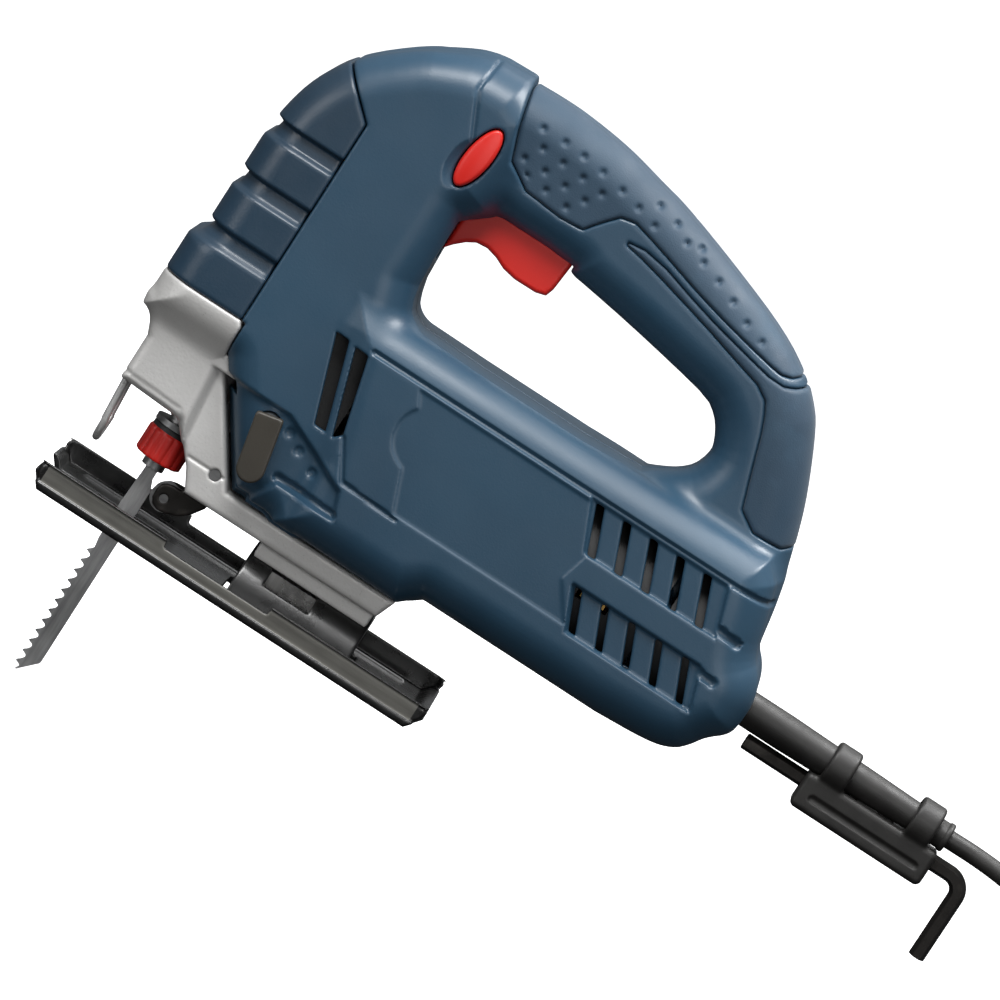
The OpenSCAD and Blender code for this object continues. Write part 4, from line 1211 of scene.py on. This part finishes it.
def make_base_plate():
    """The base plate with its bevel arch, its blade slot and a raised rib on each side."""
    g = Grid((-35, -39.5, -2), (123, 39.5, 23), FINE)
    arc = np.sqrt(g.Y ** 2 + g.Z ** 2)
    arch = np.maximum(tube_distance(g.Y, g.Z, g.X, (0.0, 0.0), 20.4, 42, 88, 0.6), -g.Z)
    solid = blend_join(base_pan(g), arch, 1.6)
    for y in (-27.0, 27.0):
        rib = tube_distance(g.Y, g.Z, g.X, (y, 1.6), 1.9, -20, 108, 1.2)
        solid = blend_join(solid, rib, 0.8)
    hollow = np.maximum(arc - 17.9, np.maximum(44.5 - g.X, g.X - 85.5))
    solid = np.maximum(solid, -np.maximum(hollow, -g.Z - 3.0))
    ends = np.maximum(arc - 17.9, np.abs(g.X - 65.0) - 25.0)
    solid = np.maximum(solid, -ends)
    slot = box_distance(g, (-50, -12, -5), (14, 12, 15), 0.4)
    solid = blend_cut(solid, -slot, 0.5)
    window = outline_distance([(0, 0), (-30, 20), (-30, 30), (30, 30), (30, 20)], g.Y, g.Z)
    window = np.maximum(window, np.maximum(np.abs(g.X - 60.0) - 8.6, 10.0 - g.Z))
    solid = blend_cut(solid, -window, 0.5)
    mesh = drop_specks(mesh_from_field("sole_pan", solid, g))
    dressed("sole_pan", mesh, "base", base_paint(), "base_plate")
    # the flanges' upright faces take a grey that is painted reflection of the black enamel
    mesh.materials.append(flange_painted_reflection())
    tag_reflection_faces(mesh)


def face_values(mesh, what):
    """One vector for each face of a mesh, such as its centre or its normal."""
    values = np.empty(len(mesh.polygons) * 3, np.float32)
    mesh.polygons.foreach_get(what, values)
    return values.reshape(-1, 3)


def tag_reflection_faces(mesh):
    """Gives the outer upright faces of the side flanges a painted reflection: grey in place of the
    light that their black enamel reflects.
    """
    centre = face_values(mesh, "center") / MM
    normal = face_values(mesh, "normal")
    # painted reflection: the faces turned sideways on the flanges get grey
    reflecting = (np.abs(normal[:, 1]) > 0.85) & (np.abs(centre[:, 1]) > 36.2)
    reflecting &= (centre[:, 2] > 2.9) & (centre[:, 2] < 8.9)
    reflecting &= (centre[:, 0] > -27.5) & (centre[:, 0] < 115.5)
    mesh.polygons.foreach_set("material_index", reflecting.astype(np.int32))


@once
def flange_painted_reflection():
    """Painted reflection: a satin grey, streaked one way, that stands in for the light the black
    enamel of the flanges' upright faces reflects.
    """
    s = Shader("flange_painted_reflection", 0.4, 0.35)
    runs = s.noise(300, 4, 0.6, s.stretched((0.06, 1.0, 1.0)))
    # grey in place of the light that the black enamel reflects: painted reflection
    s.colour(s.mixed(s.ramp(runs, 0.35, 0.68), srgb(108, 107, 102), srgb(84, 83, 79)))
    s.roughness(s.ramp(s.noise(120, 4), 0.3, 0.7, 0.32, 0.5))
    s.height(runs, 0.3, 0.00008)
    return s.material


BLADE_WIDTH = 7.5
BLADE_SIDE = 0.62                       # from the blade's middle plane to each of its faces
TEETH = 12
TOOTH_PITCH = 4.0


def blade_rows():
    """The blade as rows from the tip up: height, tooth side and back."""
    back, front = ROD_X + 4.0, ROD_X + 4.0 - BLADE_WIDTH
    rows = [(-60.0, front + 1.2, front + 1.7)]
    for k in range(TEETH):
        z = -59.0 + TOOTH_PITCH * k
        for up, x in ((0.3, 2.0), (0.8, 1.7), (1.5, 0.0), (1.8, 0.1), (2.6, 1.1), (3.5, 1.8)):
            rows.append((z + up, front + x, min(back, front + 1.7 + 0.98 * (z + up + 60.0))))
    rows += [(-8.0, front + 1.2, back), (6.0, front + 1.0, back), (14.0, front + 1.3, back),
             (18.0, front + 1.5, ROD_X + 2.4), (20.0, front + 1.6, ROD_X + 2.4),
             (32.0, ROD_X - 2.4, ROD_X + 2.4)]
    return rows


def make_saw_blade():
    """A ground blade: waisted tang, straight back and raked teeth with round gullets."""
    work = bmesh.new()
    sheets = []
    for y in (-BLADE_SIDE, BLADE_SIDE):
        sheet = []
        for z, tooth_side, back_side in blade_rows():
            middle = min(ROD_X - 0.9, (tooth_side + back_side) / 2)
            sheet.append([work.verts.new((x * MM, y * MM, z * MM))
                          for x in (tooth_side, middle, back_side)])
        sheets.append(sheet)
    left, right = sheets
    for i in range(len(left) - 1):
        for sheet in sheets:
            for k in (0, 1):
                work.faces.new((sheet[i][k], sheet[i + 1][k], sheet[i + 1][k + 1],
                                sheet[i][k + 1]))
        for k in (0, 2):
            work.faces.new((left[i][k], left[i + 1][k], right[i + 1][k], right[i][k]))
    for i in (0, -1):
        for k in (0, 1):
            work.faces.new((left[i][k], left[i][k + 1], right[i][k + 1], right[i][k]))
    dressed("toothed_blade", mesh_of(work, "toothed_blade", 20.0),
            "rod", blade_steel(), "saw_blade")


COLLAR_FROM = 34.6                      # height above which the twist sleeve is black


def make_clamp_sleeve():
    """The red twist sleeve of the blade clamp: twelve soft ribs under a plain collar."""
    g = Grid((-11.5, -10.5, 23), (9.5, 10.5, 38), FINE * 0.8)
    around = np.arctan2(g.Y, g.X - ROD_X)
    reach = np.sqrt((g.X - ROD_X) ** 2 + g.Y ** 2)
    ribs = 7.75 + 0.65 * np.abs(np.cos(6 * around)) ** 0.7 * bump_step(g.Z - 34.2, 0.8)
    radial = reach - ribs + 0.8
    along = np.abs(g.Z - 30.4) - 6.0 + 0.8
    outer = np.sqrt(np.maximum(radial, 0) ** 2 + np.maximum(along, 0) ** 2)
    solid = np.minimum(np.maximum(radial, along), 0) + outer - 0.8
    solid = blend_cut(solid, -bore_z(g, 20, 35.5, 6.0, ROD_X), 0.4)
    solid = blend_cut(solid, -bore_z(g, 30, 40, 4.04, ROD_X), 0.3)
    mesh = mesh_from_field("twist_sleeve", solid, g)
    dressed("twist_sleeve", mesh, "sleeve", red_plastic(), "clamp_sleeve")
    mesh.materials.append(black_plastic())
    high = face_values(mesh, "center")[:, 2] / MM > COLLAR_FROM
    mesh.polygons.foreach_set("material_index", high.astype(np.int32))


def make_roller_fork():
    """The fork that carries the guide roller behind the blade."""
    g = Grid((1, -7.5, 8), (26, 7.5, 55), FINE * 0.8)
    arm = [
        (4.6, 12.5), (4.2, 18.5), (7, 20.8), (13.4, 21.2), (14, 36), (15, 52), (19.6, 52),
        (20, 38), (22.6, 37), (22.8, 22), (17, 13.5), (9, 10.6)]
    solid = plate_distance(g, smooth_outline(arm, 1), 5.6, 0.9)
    gap = plate_distance(g, [(0, 5), (14.2, 5), (14.2, 21.5), (0, 22)], 3.2, 0.2)
    solid = blend_cut(solid, -gap, 0.4)
    solid = blend_cut(solid, -bore_y(g, -10, 10, 2.0, (18.5, 33.0)), 0.4)
    solid = blend_cut(solid, -bore_y(g, -10, 10, 1.5, (8.1, 15.5)), 0.3)
    dressed("fork_arm", drop_specks(mesh_from_field("fork_arm", solid, g)),
            "fork", blackened_steel(), "roller_fork")


# ------------------------------------------------------------------ controls


def make_trigger():
    """The long trigger: a hollow for the finger, a lip in front and soft edges."""
    g = Grid((39, -10.5, 134), (82, 10.5, 158), FINE * 0.9)
    side_view = [
        (40.5, 156), (40.5, 135.6), (43, 138.6), (46, 141.4), (49, 143.2), (53, 143.6),
        (57, 142.6), (61, 140.8), (66, 139.9), (74, 140), (77.5, 141), (78.5, 144), (79.5, 156)]
    solid = rounded_slab(outline_distance(side_view, g.X, g.Z), g.Y, 9.0, 1.6)
    pocket = box_distance(g, (58, -3, 130), (76, 3, 165), 0.3)
    solid = blend_cut(solid, -pocket, 0.6)
    dressed("finger_trigger", mesh_from_field("finger_trigger", solid, g),
            "trigger", red_plastic(), "trigger")


def make_speed_wheel():
    """The thumb wheel in the trigger, milled all round its rim."""
    x0, z0 = WHEEL_AT
    g = Grid((x0 - 9.5, -4, z0 - 9.5), (x0 + 9.5, 4, z0 + 9.5), FINE * 0.6)
    around = np.arctan2(g.Z - z0, g.X - x0)
    reach = np.sqrt((g.X - x0) ** 2 + (g.Z - z0) ** 2)
    rim = 7.7 + 0.35 * np.cos(20 * around)
    solid = rounded_slab(reach - rim, g.Y, 2.6, 0.5)
    solid = np.minimum(solid, bore_y(g, -2.8, 2.8, 3.5, WHEEL_AT))
    solid = blend_cut(solid, -bore_y(g, -5, 5, 1.5, WHEEL_AT), 0.3)
    dressed("milled_wheel", mesh_from_field("milled_wheel", solid, g),
            "wheel", lever_plastic(), "speed_wheel")


def make_lock_button():
    """The oval lock button: a slightly domed face with soft edges, on a short stem."""
    g = Grid((26, -31, 154), (44, -12, 184), FINE * 0.8)
    oval = lock_oval(g, 0.0)
    across = (g.X - LOCK_AT[0]) ** 2 / 4.3 ** 2 + (g.Z - LOCK_AT[1]) ** 2 / 11.5 ** 2
    face = -28.0 - 0.75 * np.clip(1 - across, 0, 1)
    front = face - g.Y
    back = g.Y + 20.0
    solid = blend_cut(blend_cut(np.maximum(oval, -9.0), front, 1.4), back, 0.6)
    stem = bore_y(g, -20.5, -13.6, 2.6, LOCK_AT)
    solid = np.minimum(solid, stem)
    dressed("oval_button", drop_specks(mesh_from_field("oval_button", solid, g)),
            "lock", red_plastic(), "lock_button")


def make_orbit_lever():
    """The orbit lever: a flat-topped bar with a round lower end."""
    g = Grid((15, -35, 35), (36, -28, 67), FINE * 0.8)
    top, tip = (23.7, 61.8), (27.6, 43.6)
    way = ((tip[0] - top[0]), (tip[1] - top[1]))
    size = math.hypot(*way)
    way = (way[0] / size, way[1] / size)
    along = (g.X - top[0]) * way[0] + (g.Z - top[1]) * way[1]
    across = np.abs((g.X - top[0]) * way[1] - (g.Z - top[1]) * way[0])
    round_end = np.sqrt(across ** 2 + np.maximum(along - size, 0) ** 2) - 4.75
    flat = blend_cut(round_end, -along, 1.2)
    solid = rounded_slab(flat, g.Y + 31.4, 2.0, 0.7)
    hub = tube_distance(g.X, g.Z, g.Y, (24.3, 57.4), 3.7, -31.6, -29.4, 0.3)
    solid = np.minimum(solid, hub)
    dressed("lever_bar", mesh_from_field("lever_bar", solid, g),
            "orbit", lever_plastic(), "orbit_lever")


# ------------------------------------------------------------------ cord sleeve and key


def turned(work, profile, centre, sides, axis="x", closed=False):
    """Turns a profile of (place along the axis, radius) around an X-wise or Y-wise axis."""
    rings = []
    for along, radius in profile:
        ring = []
        for k in range(sides):
            angle = 2 * math.pi * k / sides
            first = (centre[0] + radius * math.cos(angle)) * MM
            second = (centre[1] + radius * math.sin(angle)) * MM
            place = (along * MM, first, second) if axis == "x" else (first, along * MM, second)
            ring.append(work.verts.new(place))
        rings.append(ring)
    join_rings(work, rings, closed)


def make_cord_sleeve():
    """The tapered bend sleeve, with a collar at the casing and a bead at its end."""
    work = bmesh.new()
    turned(work, [
        (197.0, 3.3), (197.0, 8.2), (197.3, 8.5), (199.7, 8.5), (200.0, 8.2), (200.2, 6.5),
        (200.8, 6.2), (222.0, 6.2), (238.0, 5.85), (254.0, 5.5), (270.0, 5.1), (283.6, 4.75),
        (284.0, 4.9), (284.3, 5.2), (285.6, 5.2), (286.0, 4.8), (286.0, 3.3)],
        (0.0, SLEEVE_Z), 48, closed=True)
    dressed("bend_sleeve", mesh_of(work, "bend_sleeve", 50.0),
            "casing", cord_rubber(), "cord_sleeve")


def make_key_holder():
    """The rubber clip on the sleeve that holds the hex key."""
    g = Grid((232, -10, HOLDER_LOW - 2), (289, 10, 72), FINE)
    block = box_distance(g, (235, -5.5, HOLDER_LOW), (286, 5.5, KEY_Z + 4.0), 2.2)
    waist = line_distance([(241, KEY_Z - 3.6), (281, KEY_Z - 3.6)], g.X, g.Z)
    block = block + groove(waist, 2.6, 0.9) * bump_step(3.0 - np.abs(g.Y), 2.0)
    clips = None
    for x in (239.0, 272.0):
        clip = tube_distance(g.Y, g.Z, g.X, (0.0, SLEEVE_Z), 8.0, x, x + 9.0, 1.2)
        clips = clip if clips is None else np.minimum(clips, clip)
    solid = blend_join(block, clips, 1.6)
    solid = blend_cut(solid, -(np.sqrt(g.Y ** 2 + (g.Z - SLEEVE_Z) ** 2) - 6.1), 0.4)
    solid = blend_cut(solid, -(np.sqrt(g.Y ** 2 + (g.Z - KEY_Z) ** 2) - 2.95), 0.3)
    for x in (247.9, 262.0):
        window = box_distance(g, (x, -3.2, KEY_Z + 2), (x + 6, 3.2, KEY_Z + 12), 0.5)
        solid = blend_cut(solid, -window, 0.4)
    mesh = drop_specks(mesh_from_field("key_clip", solid, g))
    dressed("key_clip", mesh,
            "casing", cord_rubber(), "key_holder")


def make_hex_key():
    """The bent hexagon key, with slightly broken ends."""
    radius = 2.5 / math.cos(math.radians(30))
    bend = 6.0
    path = [(212.0, 0.0, KEY_Z), (KEY_ARM_X - bend, 0.0, KEY_Z)]
    for k in range(1, 12):
        angle = math.radians(90 - 90 * k / 12)
        path.append((KEY_ARM_X - bend + bend * math.cos(angle), 0.0,
                     KEY_Z - bend + bend * math.sin(angle)))
    path += [(KEY_ARM_X, 0.0, KEY_Z - bend), (KEY_ARM_X, 0.0, 23.0)]
    work = bmesh.new()
    tube_run(work, path, radius, 6, Vector((0.0, 1.0, 0.0)))
    ends = [f for f in work.faces if len(f.verts) == 6]
    rims = [e for f in ends for e in f.edges]
    bmesh.ops.bevel(work, geom=rims, offset=0.3 * MM, segments=1, affect="EDGES")
    dressed("bent_key", mesh_of(work, "bent_key", 35.0),
            "key", blackened_steel(), "hex_key")


# ------------------------------------------------------------------ casing screws


def make_casing_screws():
    """Pan-head screws sunk into the right half, each with a round recess."""
    work = bmesh.new()
    for point in SCREW_POINTS:
        turned(work, [
            (-7.0, 0.7), (-5.6, 1.6), (12.2, 1.6), (12.2, 2.9), (13.2, 2.85), (13.9, 2.4),
            (14.2, 1.5), (13.0, 1.35), (12.9, 0.4)], point, 24, axis="y")
    dressed("casing_screws", mesh_of(work, "casing_screws", 35.0),
            "casing", steel(), "housing_screws")


# ------------------------------------------------------------------ cord end and plug


def make_plug():
    """A moulded flat two-pin plug with a grooved waist, on the end of the cord."""
    g = Grid((329, 20, -62), (392, 64, -40), FINE * 1.3)
    taper = outline_distance(
        [(331, -3.6), (351, -5.8), (352, -9.5), (357, -13.2), (380, -17.5), (389.6, -17.5),
         (389.6, 17.5), (380, 17.5), (357, 13.2), (352, 9.5), (351, 5.8), (331, 3.6)],
        g.X, g.Y - PLUG_Y)
    half = np.clip(3.6 + (g.X - 331) * 0.12, 3.6, 6.2) + 2.8 * bump_step(355 - g.X, 9.0)
    body = rounded_slab(taper, (g.Z - PLUG_Z) * (8.9 / half), 8.9, 4.5)
    relief = 0.9 * (np.cos((g.X - 334) * 2 * math.pi / 3.4) > 0.2) * (g.X > 333) * (g.X < 350)
    scoop = 1.2 * np.clip(1 - (line_distance([(366, 0), (384, 0)], g.X, g.Y - PLUG_Y) / 9) ** 2,
                          0, 1)
    body = body + relief + scoop
    return mesh_from_field("plug_body", body, g)


def plug_pins(work):
    """Two round pins with sleeved roots and domed tips."""
    for y in (-9.5, 9.5):
        turned(work, [(389.0, 2.4), (398.0, 2.4), (398.3, 2.25), (407.6, 2.25), (408.6, 1.7),
                      (409.0, 0.9)], (PLUG_Y + y, PLUG_Z), 24)


def mesh_of(work, name, smooth_angle=40.0):
    """The mesh of a bmesh, shaded smooth except across sharp edges."""
    work.normal_update()
    bmesh.ops.recalc_face_normals(work, faces=work.faces)
    limit = math.radians(smooth_angle)
    for face in work.faces:
        face.smooth = True
    for edge in work.edges:
        edge.smooth = edge.is_manifold and edge.calc_face_angle(0.0) < limit
    mesh = bpy.data.meshes.new(name)
    work.to_mesh(mesh)
    work.free()
    return mesh


def make_cord_pieces():
    """The cord, its plug and pins, made together."""
    cord = make_cord()
    plug = dressed("plug_body", make_plug(), "casing", cord_rubber(), "plug")
    work = bmesh.new()
    plug_pins(work)
    pin_mesh = mesh_of(work, "plug_pins")
    pin_mesh.materials.append(bright_steel())
    pins = link("plug_pins", pin_mesh, "casing")


# ------------------------------------------------------------------ studio and assembly


def area_light(name, place, aim, size, power, colour=(1.0, 1.0, 1.0)):
    """A soft rectangular light. place and aim are in metres."""
    data = bpy.data.lights.new(name, "AREA")
    data.shape = "RECTANGLE"
    data.size = size[0]
    data.size_y = size[1]
    data.energy = power
    data.color = colour
    lamp = bpy.data.objects.new(name, data)
    bpy.context.scene.collection.objects.link(lamp)
    lamp.location = place
    way = Vector(aim) - Vector(place)
    lamp.rotation_euler = way.to_track_quat("-Z", "Y").to_euler()


def make_world():
    """Soft light from all round, stronger from above than from below."""
    world = bpy.data.worlds.new("studio")
    bpy.context.scene.world = world
    world.use_nodes = True
    nodes, links = world.node_tree.nodes, world.node_tree.links
    place = nodes.new("ShaderNodeTexCoord")
    split = nodes.new("ShaderNodeSeparateXYZ")
    ramp = nodes.new("ShaderNodeMapRange")
    ramp.inputs["From Min"].default_value = -0.35
    ramp.inputs["From Max"].default_value = 0.9
    ramp.inputs["To Min"].default_value = 0.03
    ramp.inputs["To Max"].default_value = 0.42
    links.new(place.outputs["Generated"], split.inputs["Vector"])
    links.new(split.outputs["Z"], ramp.inputs["Value"])
    back = nodes["Background"]
    back.inputs["Color"].default_value = (0.96, 0.98, 1.0, 1.0)
    links.new(ramp.outputs["Result"], back.inputs["Strength"])


def make_floor():
    """A wide pale floor. It lights nothing itself, so the tool's underside stays dark."""
    half = 30.0
    z = (FLOOR_Z - 0.2) * MM
    mesh = bpy.data.meshes.new("floor")
    mesh.from_pydata([(-half, -half, z), (half, -half, z), (half, half, z), (-half, half, z)],
                     [], [(0, 1, 2, 3)])
    floor = bpy.data.objects.new("floor", mesh)
    bpy.context.scene.collection.objects.link(floor)
    material = bpy.data.materials.new("floor")
    material.use_nodes = True
    main = material.node_tree.nodes["Principled BSDF"]
    main.inputs["Base Color"].default_value = (0.9, 0.9, 0.9, 1.0)
    main.inputs["Roughness"].default_value = 0.9
    main.inputs["Emission Color"].default_value = (1.0, 1.0, 1.0, 1.0)
    main.inputs["Emission Strength"].default_value = 0.85
    mesh.materials.append(material)
    floor.visible_diffuse = False
    floor.visible_glossy = False


def make_studio():
    """A big soft key above the nose, a long strip over the grip and weak fills all round."""
    bpy.context.scene.view_settings.view_transform = "Standard"
    make_world()
    make_floor()
    aim = (0.1, 0.0, 0.08)
    area_light("key", (-0.25, -0.62, 1.15), aim, (0.55, 0.55), 17.0)
    area_light("top_strip", (0.45, 0.0, 1.05), aim, (0.6, 0.25), 12.0)
    area_light("front_fill", (-0.9, -0.9, 0.25), aim, (0.5, 0.5), 3.5)
    area_light("rear_fill", (0.3, 0.9, 1.3), aim, (0.7, 0.5), 3.5)
    area_light("side_fill", (0.5, -1.3, 0.35), aim, (0.9, 0.5), 3.5)


def dress_frame():
    """Gives each CAD part that shows the finish of its material slot."""
    for part in frame["record"]["subparts"]:
        node = frame["nodes"][part["node"]]
        finish = SLOT_FINISHES[part["material_slot"]]()
        for index in range(len(node.data.materials)):
            node.data.materials[index] = finish


make_camera()
make_cord_pieces()
dress_frame()
casing_half(-1)
casing_half(1)
grip_pads(-1)
grip_pads(1)
make_front_cover()
make_gear_head()
make_blade_guard()
make_base_plate()
make_saw_blade()
make_clamp_sleeve()
make_roller_fork()
make_trigger()
make_speed_wheel()
make_lock_button()
make_orbit_lever()
make_cord_sleeve()
make_key_holder()
make_hex_key()
make_casing_screws()
make_studio()
